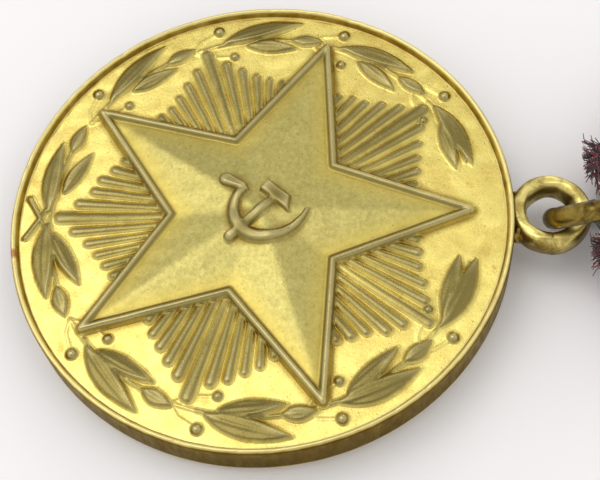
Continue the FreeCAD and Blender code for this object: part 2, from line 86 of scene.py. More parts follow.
@dataclass(frozen=True)
class RaySizes:
    """Sizes of a bundle of rays between two points of the star, in millimetres.

    Attributes:
        tip_r: Radius of each tip, from the middle ray outwards.
        tip_step: Angle in degrees between two tips.
        apex_back: Distance of the bundle's apex behind the centre.
        tip_w: Width of a ray at its tip.
        base_w: Width of a ray at its base.
        mid_tip_w: Width of the middle ray at its tip.
        mid_base_w: Width of the middle ray at its base.
        relief: Height of a ray over half its width.
        mid_flat: Height of the middle ray over that of the others.
        uneven_end: Spread of the lengths.
        uneven_w: Spread of the widths, as a share.
    """

    tip_r: tuple[float, ...] = (13.45, 12.3, 11.6, 10.95, 10.6, 10.35)
    tip_step: float = 4.9
    apex_back: float = 2.0
    tip_w: float = 0.72
    base_w: float = 0.49
    mid_tip_w: float = 0.94
    mid_base_w: float = 0.66
    relief: float = 0.62
    mid_flat: float = 0.75
    uneven_end: float = 0.09
    uneven_w: float = 0.05


@dataclass(frozen=True)
class Sprig:
    """One sprig of the wreath's right half.

    Attributes:
        angle: Direction of its base from the centre, in degrees.
        outer_r: Distance of the outer leaf's tip from the centre.
        inner_r: Distance of the inner leaf's tip.
        middle: Whether a short middle leaf grows on.
    """

    angle: float
    outer_r: float
    inner_r: float
    middle: bool = True


SPRIGS = (
    Sprig(-88.5, 14.45, 12.2),
    Sprig(-49.5, 15.0, 12.85),
    Sprig(-12.5, 15.05, 12.95),
    Sprig(21.5, 14.55, 12.6),
    Sprig(54.5, 13.95, 12.85, middle=False),
)


@dataclass(frozen=True)
class Leaf:
    """A struck leaf with a mid-rib.

    Attributes:
        base: Where it starts, in millimetres.
        tip: Where it ends.
        width: Greatest width.
        bend: How far the middle line bows to the side.
        lean: Tilt of the blade to one side.
        full: Power that moves the widest place; less is nearer the tip.
        taper: Power that thins the ends.
        blade: Height of the blade in the middle, over the leaf's height, as are the next three.
        dish: Rise of the blade to its edges.
        slant: Rise to one side for a lean of 1.
        rib: Height of the mid-rib.
        rib_w: Width of the mid-rib in millimetres.
    """

    base: Point
    tip: Point
    width: float
    bend: float
    lean: float
    full: float = 0.85
    taper: float = 0.9
    blade: float = 0.60
    dish: float = 0.16
    slant: float = 2.4
    rib: float = 0.24
    rib_w: float = 0.09


STAR = StarSizes()
RAYS = RaySizes()


# ---- geometry helpers ---------------------------------------------------------------------------
def polar(radius: float, angle: float) -> Point:
    """Returns the point at a radius and an angle in degrees."""
    turn = math.radians(angle)
    return radius * math.cos(turn), radius * math.sin(turn)


def bump_profile(offset: Array, half: float | Array, height: float | Array) -> Array:
    """Returns a half-round ridge's height: the root of one less the square of offset over half.

    Args:
        offset: Distance from the ridge's line.
        half: Half the ridge's width.
        height: Height on the line.
    """
    return height * np.sqrt(np.clip(1 - (offset / half) ** 2, 0, 1))


def plateau(depth: Array, edge: float, height: float) -> Array:
    """Returns the height of a flat-topped form, whose edge is a quarter of an ellipse.

    Args:
        depth: Distance inside the form's outline, negative outside.
        edge: Width of the rounded edge.
        height: Height of the flat top.
    """
    share = np.clip(depth / edge, 0, 1)
    return height * np.sqrt(1 - (1 - share) ** 2)


def segment_share(x: Array, y: Array, a: Point, b: Point) -> Array:
    """Returns how far along the segment a-b each point lies, as a share from 0 to 1."""
    run = np.array(b) - np.array(a)
    return np.clip(((x - a[0]) * run[0] + (y - a[1]) * run[1]) / (run @ run), 0, 1)


def segment_distance(x: Array, y: Array, a: Point, b: Point) -> Array:
    """Returns the distance of each point from the nearest point of the segment a-b."""
    along = segment_share(x, y, a, b)
    return np.hypot(x - a[0] - along * (b[0] - a[0]), y - a[1] - along * (b[1] - a[1]))


def polygon_depth(x: Array, y: Array, corners: Sequence[Point]) -> Array:
    """Returns the distance to the nearest side of a polygon, negative outside.

    A point is inside where a line from it crosses an odd number of sides.

    Args:
        x: First coordinates.
        y: Second coordinates.
        corners: The polygon's corners in order.
    """
    distance = np.full(x.shape, np.inf)
    inside = np.zeros(x.shape, bool)
    for (ax, ay), (bx, by) in zip(corners, (*corners[1:], corners[0])):
        distance = np.minimum(distance, segment_distance(x, y, (ax, ay), (bx, by)))
        inside ^= ((ay > y) != (by > y)) & (x < (bx - ax) * (y - ay) / (by - ay) + ax)
    return np.where(inside, distance, -distance)


class SmoothMap:
    """A height function sampled on a square grid and blurred."""

    HALF = 16.0
    STEP = 0.08
    PASSES = 3

    def __init__(self, source: Height, blur: float) -> None:
        """Samples, and takes running means along both axes three times, which is near a bell curve.

        Args:
            source: Height function.
            blur: Radius of the blur in millimetres.
        """
        line = np.arange(-self.HALF, self.HALF + self.STEP, self.STEP)
        self.grid = source(*np.meshgrid(line, line))
        width = max(1, int(round(blur / self.STEP)))
        for _ in range(self.PASSES):
            self.grid = self._box(self._box(self.grid, width).T, width).T

    @staticmethod
    def _box(grid: Array, width: int) -> Array:
        """Returns the running mean along the first axis over 2 * width + 1 rows.

        Args:
            grid: Values on the grid.
            width: Rows on each side of the middle one.
        """
        padded = np.pad(grid, ((width + 1, width), (0, 0)), mode="edge")
        total = np.cumsum(padded, axis=0)
        return (total[2 * width + 1:] - total[:-2 * width - 1]) / (2 * width + 1)

    def __call__(self, x: Array, y: Array) -> Array:
        """Returns the blurred height at each point, mixed from its four neighbours on the grid.

        Args:
            x: Places across, in millimetres.
            y: Places along, in millimetres.
        """
        end = len(self.grid) - 1.001
        u, v = (np.clip((part + self.HALF) / self.STEP, 0, end) for part in (x, y))
        i, j = u.astype(int), v.astype(int)
        fu, fv = u - i, v - j
        low = self.grid[j, i] * (1 - fu) + self.grid[j, i + 1] * fu
        high = self.grid[j + 1, i] * (1 - fu) + self.grid[j + 1, i + 1] * fu
        return low * (1 - fv) + high * fv


class Ripple:
    """Soft random waves, for metal that is not quite flat: a sum of sines in random directions."""

    def __init__(self, seed: int, count: int, lengths: tuple[float, float], height: float) -> None:
        """Draws the waves.

        Args:
            seed: Random seed.
            count: Number of waves.
            lengths: Shortest and longest wavelength.
            height: Root mean square height.
        """
        rng = np.random.default_rng(seed)
        turn = rng.uniform(0, 2 * math.pi, count)
        pitch = 2 * math.pi / rng.uniform(*lengths, count)
        self.kx, self.ky = pitch * np.cos(turn), pitch * np.sin(turn)
        self.phase = rng.uniform(0, 2 * math.pi, count)
        self.scale = height * math.sqrt(2 / count)

    def __call__(self, x: Array, y: Array) -> Array:
        """Returns the wave height at each point.

        Args:
            x: Places across, in millimetres.
            y: Places along, in millimetres.
        """
        total = np.zeros(np.shape(x))
        for kx, ky, phase in zip(self.kx, self.ky, self.phase):
            total += np.sin(kx * x + ky * y + phase)
        return total * self.scale


# ---- relief of the face -------------------------------------------------------------------------
class StarRelief:
    """Five-pointed star: soft creased faces inside a round border ridge."""

    def __init__(self, sizes: StarSizes) -> None:
        """Works out the edge line of one half point.

        Args:
            sizes: Sizes of the part in millimetres.
        """
        self.sizes = sizes
        half = math.pi / sizes.points
        self.tip = (sizes.tip_r, 0.0)
        self.notch = (sizes.notch_r * math.cos(half), sizes.notch_r * math.sin(half))
        run = np.array(self.notch) - np.array(self.tip)
        run /= np.linalg.norm(run)
        self.out = np.array([run[1], -run[0]])
        self.reach = float(self.out @ np.array(self.tip))
        self.faces = SmoothMap(self._creased, sizes.soften)

    def _fold(self, x: Array, y: Array) -> tuple[Array, Array]:
        """Folds the plane onto one half point, whose tip lies along the first axis.

        Args:
            x: Places across, in millimetres.
            y: Places along, in millimetres.
        """
        part = 2 * math.pi / self.sizes.points
        turn = np.arctan2(y, x) - math.pi / 2
        turn = np.abs((turn + part / 2) % part - part / 2)
        radius = np.hypot(x, y)
        return radius * np.cos(turn), radius * np.sin(turn)

    def outside(self, x: Array, y: Array) -> Array:
        """Returns the distance outside the star's edge lines, negative inside."""
        u, v = self._fold(x, y)
        return (u - self.tip[0]) * self.out[0] + v * self.out[1]

    def _creased(self, x: Array, y: Array) -> Array:
        """Returns the sharp faces, which rise evenly from every edge."""
        rise = self.sizes.peak_h - self.sizes.edge_h
        return self.sizes.edge_h - rise * self.outside(x, y) / self.reach

    def ridge(self, x: Array, y: Array) -> Array:
        """Returns the border ridge."""
        gap = segment_distance(*self._fold(x, y), self.tip, self.notch)
        return bump_profile(gap, self.sizes.ridge_w / 2, self.sizes.ridge_h)

    def face(self, x: Array, y: Array) -> Array:
        """Returns the faces inside the ridge, and zero outside."""
        return np.where(self.outside(x, y) < 0, self.faces(x, y), 0)


class RayRelief:
    """Bundles of rounded rays between the star's points."""

    def __init__(self, sizes: RaySizes, star: StarSizes) -> None:
        """Works out each ray's direction and length from the apex, and draws its oddness.

        Args:
            sizes: Sizes of the part in millimetres.
            star: Sizes of the star.
        """
        self.sizes = sizes
        self.part = 2 * math.pi / star.points
        self.start = star.notch_r + sizes.apex_back
        tips = [polar(r, k * sizes.tip_step) for k, r in enumerate(sizes.tip_r)]
        self.turns = np.array([math.atan2(y, x + sizes.apex_back) for x, y in tips])
        self.ends = np.array([math.hypot(x + sizes.apex_back, y) for x, y in tips])
        rng = np.random.default_rng(SEED)
        shape = (star.points, 2 * len(tips) - 1)
        self.stretch = rng.normal(0, sizes.uneven_end, shape)
        self.swell = rng.normal(1, sizes.uneven_w, shape)

    def __call__(self, x: Array, y: Array) -> Array:
        """Returns the height of the rays.

        Each point is turned into its bundle and given to the ray nearest in direction. The ray is
        half round, widens evenly from base to tip, and has a round nose.

        Args:
            x: Places across, in millimetres.
            y: Places along, in millimetres.
        """
        turn = np.arctan2(y, x) - math.pi / 2
        bundle = np.floor(turn / self.part).astype(int) % self.stretch.shape[0]
        turn = turn % self.part - self.part / 2
        radius = np.hypot(x, y)
        u, v = radius * np.cos(turn) + self.sizes.apex_back, radius * np.sin(turn)
        slant, reach = np.arctan2(v, u), np.hypot(u, v)
        last = len(self.turns) - 1
        index = np.clip(np.rint(slant / (self.turns[-1] / last)), -last, last).astype(int)
        order = np.abs(index)
        off = slant - np.sign(index) * self.turns[order]
        along, across = reach * np.cos(off), reach * np.sin(off)
        middle = order == 0
        end = self.ends[order] + self.stretch[bundle, index + last]
        share = np.clip((along - self.start) / (end - self.start), 0, 1.2)
        base_w = np.where(middle, self.sizes.mid_base_w, self.sizes.base_w)
        tip_w = np.where(middle, self.sizes.mid_tip_w, self.sizes.tip_w)
        half = (base_w + (tip_w - base_w) * share) / 2 * self.swell[bundle, index + last]
        nose = np.maximum(along - (end - half), 0)
        relief = self.sizes.relief * np.where(middle, self.sizes.mid_flat, 1.0)
        return bump_profile(np.hypot(across, nose), half, half * relief)


class WreathRelief:
    """Two branches of pointed leaves with berries. The left one mirrors the right, but slimmer.

    Lengths are in millimetres. Angles are in degrees, measured on from the base of a sprig.
    """

    LEAF_H, BERRY_H, STEM_H = 0.38, 0.8, 1.1
    INNERMOST = 11.3
    # a sprig's outer, inner and middle leaf: radius and angle of the base, width, bend and lean
    OUTER = (13.75, 0.0), (1.42, -0.22, 0.10)
    INNER = (13.35, 3.0), (1.12, -0.05, -0.10)
    MIDDLE = (13.55, 19.5), (1.0, -0.05, 0.05)
    TIPS_AT, MIDDLE_TIP = 22.0, (13.8, 29.0)
    STEM_R, STEM_AT, STEM_W = 13.6, (-2, 3, 8, 13, 20), 0.13
    # each berry: radius, angle and size, then radius and angle of the bend in its stalk
    BERRIES = ((14.7, -0.5, 0.36, 14.25, -6.0), (12.45, 2.5, 0.30, 12.85, -5.0))
    FORK, JOIN_R, JOIN_W, STALK_W = (13.6, -9.0), 13.65, 0.10, 0.07
    # the crossed butts of the two branches: start, end and half width
    BUTTS = (((1.45, -15.05), (0.0, -14.2), 0.2), ((0.0, -14.2), (-0.9, -13.75), 0.17))
    LEFT_SHORT, LEFT_SLIM = 0.18, 0.88

    def __init__(self, sprigs: Sequence[Sprig]) -> None:
        """Lays out leaves, berries and stems of both halves.

        Args:
            sprigs: Sprigs of one half, from the bottom up.
        """
        self.leaves: list[Leaf] = []
        self.berries: list[tuple[Point, float]] = []
        self.stems: list[tuple[Point, Point, float]] = []
        for sprig in sprigs:
            self._add_sprig(sprig)
        for sprig in sprigs[1:]:
            self._add_berries(sprig.angle)
        self.stems += self.BUTTS
        self._mirror()

    def _add_sprig(self, sprig: Sprig) -> None:
        """Adds one sprig's leaves and the stem between them.

        Args:
            sprig: The sprig.
        """
        tip = sprig.angle + self.TIPS_AT
        ends = [(self.OUTER, polar(sprig.outer_r, tip)), (self.INNER, polar(sprig.inner_r, tip))]
        if sprig.middle:
            ends.append((self.MIDDLE, polar(self.MIDDLE_TIP[0], sprig.angle + self.MIDDLE_TIP[1])))
        for ((radius, angle), shape), end in ends:
            self.leaves.append(Leaf(polar(radius, sprig.angle + angle), end, *shape))
        line = [polar(self.STEM_R, sprig.angle + step) for step in self.STEM_AT]
        self.stems += [(a, b, self.STEM_W) for a, b in zip(line, line[1:])]

    def _add_berries(self, angle: float) -> None:
        """Adds the berries that stand before a sprig, on stalks from one fork.

        Args:
            angle: Where the sprig is, in degrees.
        """
        fork = polar(self.FORK[0], angle + self.FORK[1])
        for radius, turn, size, bend_r, bend_turn in self.BERRIES:
            berry, bend = polar(radius, angle + turn), polar(bend_r, angle + bend_turn)
            self.berries.append((berry, size))
            self.stems += [(fork, bend, self.STALK_W), (bend, berry, self.STALK_W)]
        self.stems.append((fork, polar(self.JOIN_R, angle), self.JOIN_W))

    def _mirror(self) -> None:
        """Adds the left half. Its leaves that lean inwards start further along."""
        for leaf in list(self.leaves):
            step = self.LEFT_SHORT if leaf.lean < 0 else 0
            x, y = (base + (tip - base) * step for base, tip in zip(leaf.base, leaf.tip))
            self.leaves.append(Leaf((-x, y), (-leaf.tip[0], leaf.tip[1]),
                                    leaf.width * self.LEFT_SLIM, -leaf.bend, -leaf.lean))
        self.berries += [((-x, y), size) for (x, y), size in self.berries]
        self.stems += [((-a[0], a[1]), (-b[0], b[1]), w) for a, b, w in self.stems]

    def _leaf(self, x: Array, y: Array, leaf: Leaf) -> Array:
        """Returns one leaf's height.

        The blade is dished by the square of the way out and leans to one side. The mid-rib is a
        bell curve over the bent middle line. Both fade steeply at the side edges and at base and
        tip.

        Args:
            x: First coordinates of points near the leaf.
            y: Second coordinates.
            leaf: The leaf.
        """
        run = np.array(leaf.tip) - np.array(leaf.base)
        run /= np.linalg.norm(run)
        along = segment_share(x, y, leaf.base, leaf.tip)
        off = (y - leaf.base[1]) * run[0] - (x - leaf.base[0]) * run[1]
        off = off - leaf.bend * 4 * along * (1 - along)
        half = leaf.width / 2 * np.sin(math.pi * along ** leaf.full) ** leaf.taper
        side = off / (half + 1e-6)
        out = np.clip(np.abs(side), 0, 1)
        blade = leaf.blade + leaf.dish * out ** 2 + leaf.lean * leaf.slant * np.clip(side, -1, 1)
        rib = leaf.rib * np.exp(-(off / leaf.rib_w) ** 2) * np.clip(1.15 - along, 0, 1)
        ends = np.sin(math.pi * np.clip(along * 0.97 + 0.015, 0, 1)) ** 0.25
        fade = np.sqrt(1 - out ** 8) * ends
        return self.LEAF_H * (blade + rib * fade) * fade

    def berry_gap(self, x: Array, y: Array) -> Array:
        """Returns the distance outside the nearest berry."""
        gaps = [np.hypot(x - bx, y - by) - size for (bx, by), size in self.berries]
        return np.maximum(np.minimum.reduce(gaps), 0)

    def __call__(self, x: Array, y: Array) -> Array:
        """Returns the height of the whole wreath: the highest of its parts at each point.

        Args:
            x: Places across, in millimetres.
            y: Places along, in millimetres.
        """
        total = np.zeros(x.shape)
        ring = np.hypot(x, y) > self.INNERMOST
        xs, ys = x[ring], y[ring]
        part = np.zeros(xs.shape)
        for leaf in self.leaves:
            near = segment_distance(xs, ys, leaf.base, leaf.tip) < leaf.width
            part[near] = np.maximum(part[near], self._leaf(xs[near], ys[near], leaf))
        for (bx, by), size in self.berries:
            bump = bump_profile(np.hypot(xs - bx, ys - by), size, self.BERRY_H * size)
            part = np.maximum(part, bump)
        for a, b, half in self.stems:
            bump = bump_profile(segment_distance(xs, ys, a, b), half, self.STEM_H * half)
            part = np.maximum(part, bump)
        total[ring] = part
        return total


class EmblemRelief:
    """Hammer crossed by a sickle, in flat relief with rounded edges."""

    REACH = 4.0
    CENTRE_Y = 0.5
    # the blade's outer and inner radius at each of these angles
    BLADE_TURNS = (-140, -110, -86, -62, -42, -24, -2, 18, 43, 66, 90)
    BLADE_OUT = (2.42, 2.42, 2.50, 2.56, 2.55, 2.46, 2.38, 2.32, 2.34, 2.46, 2.70)
    BLADE_IN = (1.78, 1.79, 1.74, 1.73, 1.70, 1.65, 1.60, 1.62, 1.72, 1.98, 2.45)
    WRAP, END_SLOPE = 120, 0.04
    GRIP = ((-1.62, -1.15), (-2.2, -2.15))
    HEAD = ((-2.05, 0.5), (-0.85, 1.95), (0.3, 1.85), (-0.4, 1.05), (-1.35, 0.0))
    SHAFT = ((-0.7, 0.95), (1.92, -1.78))
    BUTT = ((1.72, -1.57), (1.92, -1.78))
    # half widths, how much wider the grip gets to its end, and how far the head stands out
    GRIP_HALF, GRIP_GROWS, SHAFT_HALF, BUTT_HALF, HEAD_OUT = 0.36, 0.14, 0.34, 0.38, 0.03
    # width of the rounded edge, and height
    BLADE_FORM, GRIP_FORM, HEAD_FORM = (0.20, 0.36), (0.32, 0.40), (0.16, 0.36)
    SHAFT_FORM, BUTT_FORM = (0.22, 0.27), (0.30, 0.34)

    def __call__(self, x: Array, y: Array) -> Array:
        """Returns the height above the star's faces: the highest of five flat-topped forms.

        The blade lies between two radii that change with the angle. Grip, shaft and butt lie within
        a distance of a line, and the head inside a polygon.

        Args:
            x: Places across, in millimetres.
            y: Places along, in millimetres.
        """
        total = np.zeros(x.shape)
        near = np.hypot(x, y) < self.REACH
        xs, ys = x[near], y[near]
        turn = np.degrees(np.arctan2(ys - self.CENTRE_Y, xs))
        turn = np.where(turn > self.WRAP, turn - 360, turn)
        radius = np.hypot(xs, ys - self.CENTRE_Y)
        depth = np.minimum(np.interp(turn, self.BLADE_TURNS, self.BLADE_OUT) - radius,
                           radius - np.interp(turn, self.BLADE_TURNS, self.BLADE_IN))
        ends = np.minimum(turn - self.BLADE_TURNS[0], self.BLADE_TURNS[-1] - turn)
        grip_half = self.GRIP_HALF + self.GRIP_GROWS * segment_share(xs, ys, *self.GRIP)
        total[near] = np.maximum.reduce([
            plateau(np.minimum(depth, ends * self.END_SLOPE), *self.BLADE_FORM),
            plateau(grip_half - segment_distance(xs, ys, *self.GRIP), *self.GRIP_FORM),
            plateau(polygon_depth(xs, ys, self.HEAD) + self.HEAD_OUT, *self.HEAD_FORM),
            plateau(self.SHAFT_HALF - segment_distance(xs, ys, *self.SHAFT), *self.SHAFT_FORM),
            plateau(self.BUTT_HALF - segment_distance(xs, ys, *self.BUTT), *self.BUTT_FORM)])
        return total


class FaceRelief:
    """Everything struck on the face, as one height above the field."""

    FLOW_WAVES, FLOW_LENGTHS, FLOW_H = 26, (0.9, 4.5), 0.0065
    MEAN_BLUR = 0.30
    # strength of the painted shade in hollows and painted highlight on raised edges
    SHADE_GAIN = 2.8
    # a form counts as raised from its height over the first number, less the second
    RAY_FADE, WREATH_FADE = (0.11, 0.6), (0.07, 0.9)
    EMBLEM_FADE, RIDGE_FADE = (0.11, 0.6), (0.11, 1.5)
    BERRY_EDGE, BERRY_START = 0.1, 0.9

    def __init__(self) -> None:
        """Makes the parts of the relief and the maps that its finish needs."""
        self.star = StarRelief(STAR)
        self.rays = RayRelief(RAYS, STAR)
        self.wreath = WreathRelief(SPRIGS)
        self.emblem = EmblemRelief()
        self.flow = Ripple(SEED, self.FLOW_WAVES, self.FLOW_LENGTHS, self.FLOW_H)
        self.mean = SmoothMap(self, self.MEAN_BLUR)

    def __call__(self, x: Array, y: Array) -> Array:
        """Returns the height above the field: star and emblem inside, rays and wreath outside.

        Args:
            x: Places across, in millimetres.
            y: Places along, in millimetres.
        """
        inside = self.star.outside(x, y) < 0
        ground = np.where(inside, self.star.face(x, y) + self.emblem(x, y),
                          np.maximum(self.rays(x, y), self.wreath(x, y)))
        return np.maximum(ground, self.star.ridge(x, y)) + self.flow(x, y)

    def raised(self, x: Array, y: Array) -> Array:
        """Returns 1 on rays, leaves, ridge and emblem, 0 on the field and the star's faces.

        Args:
            x: Places across, in millimetres.
            y: Places along, in millimetres.
        """
        inside = self.star.outside(x, y) < 0
        heights = ((np.where(inside, 0, self.rays(x, y)), self.RAY_FADE),
                   (np.where(inside, 0, self.wreath(x, y)), self.WREATH_FADE),
                   (np.where(inside, self.emblem(x, y), 0), self.EMBLEM_FADE),
                   (self.star.ridge(x, y), self.RIDGE_FADE))
        forms = [height / depth - start for height, (depth, start) in heights]
        forms.append(self.BERRY_START - self.wreath.berry_gap(x, y) / self.BERRY_EDGE)
        return np.clip(np.maximum.reduce(forms), 0, 1)

    def cavity(self, x: Array, y: Array, height: Array) -> Array:
        """Returns 0.5 on level metal, less in hollows and more on raised edges: painted shade in
        the hollows and a painted highlight on the edges.
        """
        return np.clip(0.5 + self.SHADE_GAIN * (height - self.mean(x, y)), 0, 1)


# ---- meshes -------------------------------------------------------------------------------------
def add_object(name: str, mesh: bpy.types.Mesh) -> bpy.types.Object:
    """Links a new object that holds a mesh.

    Args:
        name: Name of the object.
        mesh: Mesh that it holds.
    """
    item = bpy.data.objects.new(name, mesh)
    bpy.context.scene.collection.objects.link(item)
    return item


def add_mesh(name: str, points: Array, faces: Sequence[Sequence[int]],
             normals: Array | None = None, **attributes: Array) -> bpy.types.Object:
    """Makes a smooth-shaded object.

    Args:
        name: Object name.
        points: Vertices in millimetres, one row each.
        faces: Vertex numbers of each face.
        normals: Vertex normals, where the mesh alone would not give them.
        **attributes: One number per vertex, by attribute name.

    Returns:
        The linked object.
    """
    mesh = bpy.data.meshes.new(name)
    mesh.from_pydata((np.asarray(points) * MM).tolist(), [], faces)
    mesh.shade_smooth()
    for key, values in attributes.items():
        layer = mesh.attributes.new(key, "FLOAT", "POINT")
        layer.data.foreach_set("value", np.asarray(values, np.float32).ravel())
    if normals is not None:
        mesh.normals_split_custom_set_from_vertices(normals.tolist())
    mesh.update()
    return add_object(name, mesh)


def grid_faces(rows: int, columns: int, wrap_rows: bool = False,
               wrap_columns: bool = False) -> list[tuple[int, ...]]:
    """Returns the quads of a grid whose vertices are numbered row by row.

    Args:
        rows: Number of rows.
        columns: Vertices in each row.
        wrap_rows: Whether the last row joins the first.
        wrap_columns: Whether each row closes on itself.
    """
    i = np.arange(rows if wrap_rows else rows - 1)
    j = np.arange(columns if wrap_columns else columns - 1)
    i, j = (part.ravel() for part in np.meshgrid(i, j, indexing="ij"))
    ni, nj = (i + 1) % rows, (j + 1) % columns
    quads = np.stack([i * columns + j, ni * columns + j, ni * columns + nj, i * columns + nj], 1)
    return [tuple(quad) for quad in quads.tolist()]


def end_caps(rows: int, columns: int) -> list[tuple[int, ...]]:
    """Returns the two faces that close a tube's first and last row."""
    last = (rows - 1) * columns
    return [tuple(range(columns)), tuple(range(last + columns - 1, last - 1, -1))]


# ---- frame --------------------------------------------------------------------------------------
class Body(str, Enum):
    """Bodies of the frame that new pieces ride on."""

    BLOCK = "block"
    RING = "ring"
    MEDAL = "medal"


class Slot(str, Enum):
    """Material slots of the record."""

    BRASS = "struck_brass"
    EYELET = "eyelet_brass"
    SOLDER = "solder"
    RING = "ring_wire"
    SILK = "ribbon_silk"


def dress(item: bpy.types.Object, body: Body, material: bpy.types.Material,
          node: str | None = None) -> bpy.types.Object:
    """Gives a new piece its finish and body, and hides the CAD node that it stands for.

    Args:
        item: The piece.
        body: Body that it rides on.
        material: Its finish.
        node: CAD node that it replaces, if any.

    Returns:
        The same piece.
    """
    item.data.materials.append(material)
    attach(item, body.value)
    if node:
        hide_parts(node)
    return item


def node_box(node: str) -> tuple[Vector, Vector]:
    """Returns a CAD node's lowest and highest corners in millimetres."""
    low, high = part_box(node)
    return Vector(low) / MM, Vector(high) / MM


def joint_of(name: str) -> dict:
    """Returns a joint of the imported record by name."""
    return next(joint for joint in FRAME["joints"] if joint["name"] == name)


def joint_point(name: str) -> Vector:
    """Returns a joint's point in millimetres."""
    return Vector(joint_of(name)["pos_m"]) / MM


# ---- disc ---------------------------------------------------------------------------------------
@dataclass
class Disc:
    """Struck brass disc: a face in sectors, and one turned surface for rim, edge and back.

    Attributes:
        radius: Outer radius in millimetres, as all sizes here.
        thick: Thickness over the rim.
        field: Height of the field above the back.
        face_r: Radius at which the face's grid ends, at the rim's foot.
        rim_in: Inner radius of the raised rim.
        rings: Grid rings of the face.
        spokes: Grid spokes of the face, a multiple of the sectors.
        sectors: Meshes that share the face.
        turned: Vertices round the rim.
        corner: Radius of the lower corner.
        crown_h: Height of the rounded crown.
        knocks: Number of small knocks in the rim.
        sunk: How far the rim is rubbed down.
    """

    # radius of each row of the level back, then radius, height and tone level over its darker
    # groove
    BACK = (0.5, 3, 6, 9, 11, 13, 14.2, 14.45)
    BACK_WEAR = 0.76
    GROOVE = ((14.52, 0.05, 0.66), (14.65, 0.13, 0.6), (14.78, 0.05, 0.66), (14.85, 0.0, 0.76),
              (15.4, 0.0, 0.8), (15.75, 0.0, 0.85))
    # tone level over the crown from its outer side: light on top, rubbed and a painted highlight
    CROWN_RUB_AND_LIGHT = (0.45, 0.52, 0.64, 0.78, 0.88, 0.95, 0.97, 0.96, 0.94, 0.88, 0.80, 0.70)
    # radius from the rim's inner side, height from the field, and tone level: painted shade at the
    # foot
    FOOT = ((-0.01, 0.16, 0.66), (-0.04, 0.05, 0.66), (-0.07, -0.01, 0.8), (-0.11, -0.02, 0.88))
    # waves round the rim, phase and height
    WAVES = ((3, 1, 0.02), (7, 0, 0.012), (17, 2, 0.012))

    radius: float = 16.0
    thick: float = 2.8
    field: float = 2.25
    face_r: float = 15.44
    rim_in: float = 15.60
    rings: int = 224
    spokes: int = 1440
    sectors: int = 5
    turned: int = 900
    corner: float = 0.2
    crown_h: float = 0.24
    knocks: int = 46
    sunk: float = 0.04

    def build(self, finishes: Finishes) -> list[bpy.types.Object]:
        """Makes and dresses the face's sectors and the rim.

        Args:
            finishes: Every finish of the medal.

        Returns:
            The pieces.
        """
        grid = FaceGrid(FaceRelief(), self)
        pieces = [dress(grid.sector(number), Body.MEDAL, finishes.face, "medal_disc")
                  for number in range(self.sectors)]
        pieces.append(dress(self._rim(), Body.MEDAL, finishes.edge, "medal_disc"))
        return pieces

    def _outline(self) -> Array:
        """Returns the turned outline, from the back's centre to the field.

        Each row is radius, height and a tone level: the side dark as painted shade, lighter towards
        the top, the crown's top light where it is rubbed and as a painted highlight, the rim's foot
        darker as painted shade, and the back's groove darker. The back is level with a round
        groove, the corner below is a quarter circle, the edge is straight, and the crown is half an
        ellipse that falls to the field.
        """
        rows = [(radius, 0.0, self.BACK_WEAR) for radius in self.BACK] + list(self.GROOVE)
        rows += [(self.radius - self.corner * (1 - math.sin(turn)),
                  self.corner * (1 - math.cos(turn)), 0.75)
                 for turn in np.radians([20, 45, 70, 90])]
        # the straight side: dark as painted shade, lighter towards the top
        rows += [(self.radius, z, 0.36 + 0.07 * z) for z in np.linspace(0.35, self.thick - 0.35, 9)]
        crown = (self.radius - self.rim_in) / 2 - 0.02
        rows += [(self.radius - crown * (1 - math.cos(turn)),
                  self.thick - self.crown_h * (1 - math.sin(turn)), rub_and_light)
                 for turn, rub_and_light in zip(np.radians(np.arange(5, 171, 15)), self.CROWN_RUB_AND_LIGHT)]
        rows += [(self.rim_in + out, self.field + up, rub_and_light) for out, up, rub_and_light in self.FOOT]
        rows.append((self.face_r - 0.03, self.field - 0.005, 0.94))
        return np.array(rows)

    def _rim(self) -> bpy.types.Object:
        """Turns the outline about the middle, with knocks and a slight waviness on the crown.

        A knock is a bell curve round the rim. The waviness is a sum of three sines of the turn.
        Both grow with the height above the field, so the foot stays round.
        """
        outline = self._outline()
        turns = np.arange(self.turned) * 2 * math.pi / self.turned
        radius, height, wear_and_shade = (np.repeat(outline[:, k:k + 1], self.turned, 1) for k in range(3))
        rng = np.random.default_rng(SEED + 1)
        at = rng.uniform(0, 2 * math.pi, (self.knocks, 1))
        width = rng.uniform(0.008, 0.03, (self.knocks, 1))
        deep = rng.uniform(0.01, 0.045, (self.knocks, 1))
        off = (turns - at + math.pi) % (2 * math.pi) - math.pi
        knocked = (deep * np.exp(-(off / width) ** 2)).sum(0)
        waves = sum(high * np.sin(count * turns + phase) for count, phase, high in self.WAVES)
        crown = (radius > self.rim_in - 0.01) & (height > self.field)
        share = np.where(crown, (height - self.field) / (self.thick - self.field), 0)
        height = height + share * (waves - self.sunk - knocked)
        points = np.stack([radius * np.cos(turns), radius * np.sin(turns), height], 2)
        points = points.reshape(-1, 3)
        points = np.vstack([points, [[0.0, 0.0, 0.0]]])
        faces = [face[::-1] for face in grid_faces(len(outline), self.turned, wrap_columns=True)]
        pole, ahead = len(points) - 1, np.roll(np.arange(self.turned), -1).tolist()
        faces += [(pole, after, before) for before, after in enumerate(ahead)]
        return add_mesh("medal_rim", points, faces, cavity=np.append(wear_and_shade, self.BACK_WEAR))


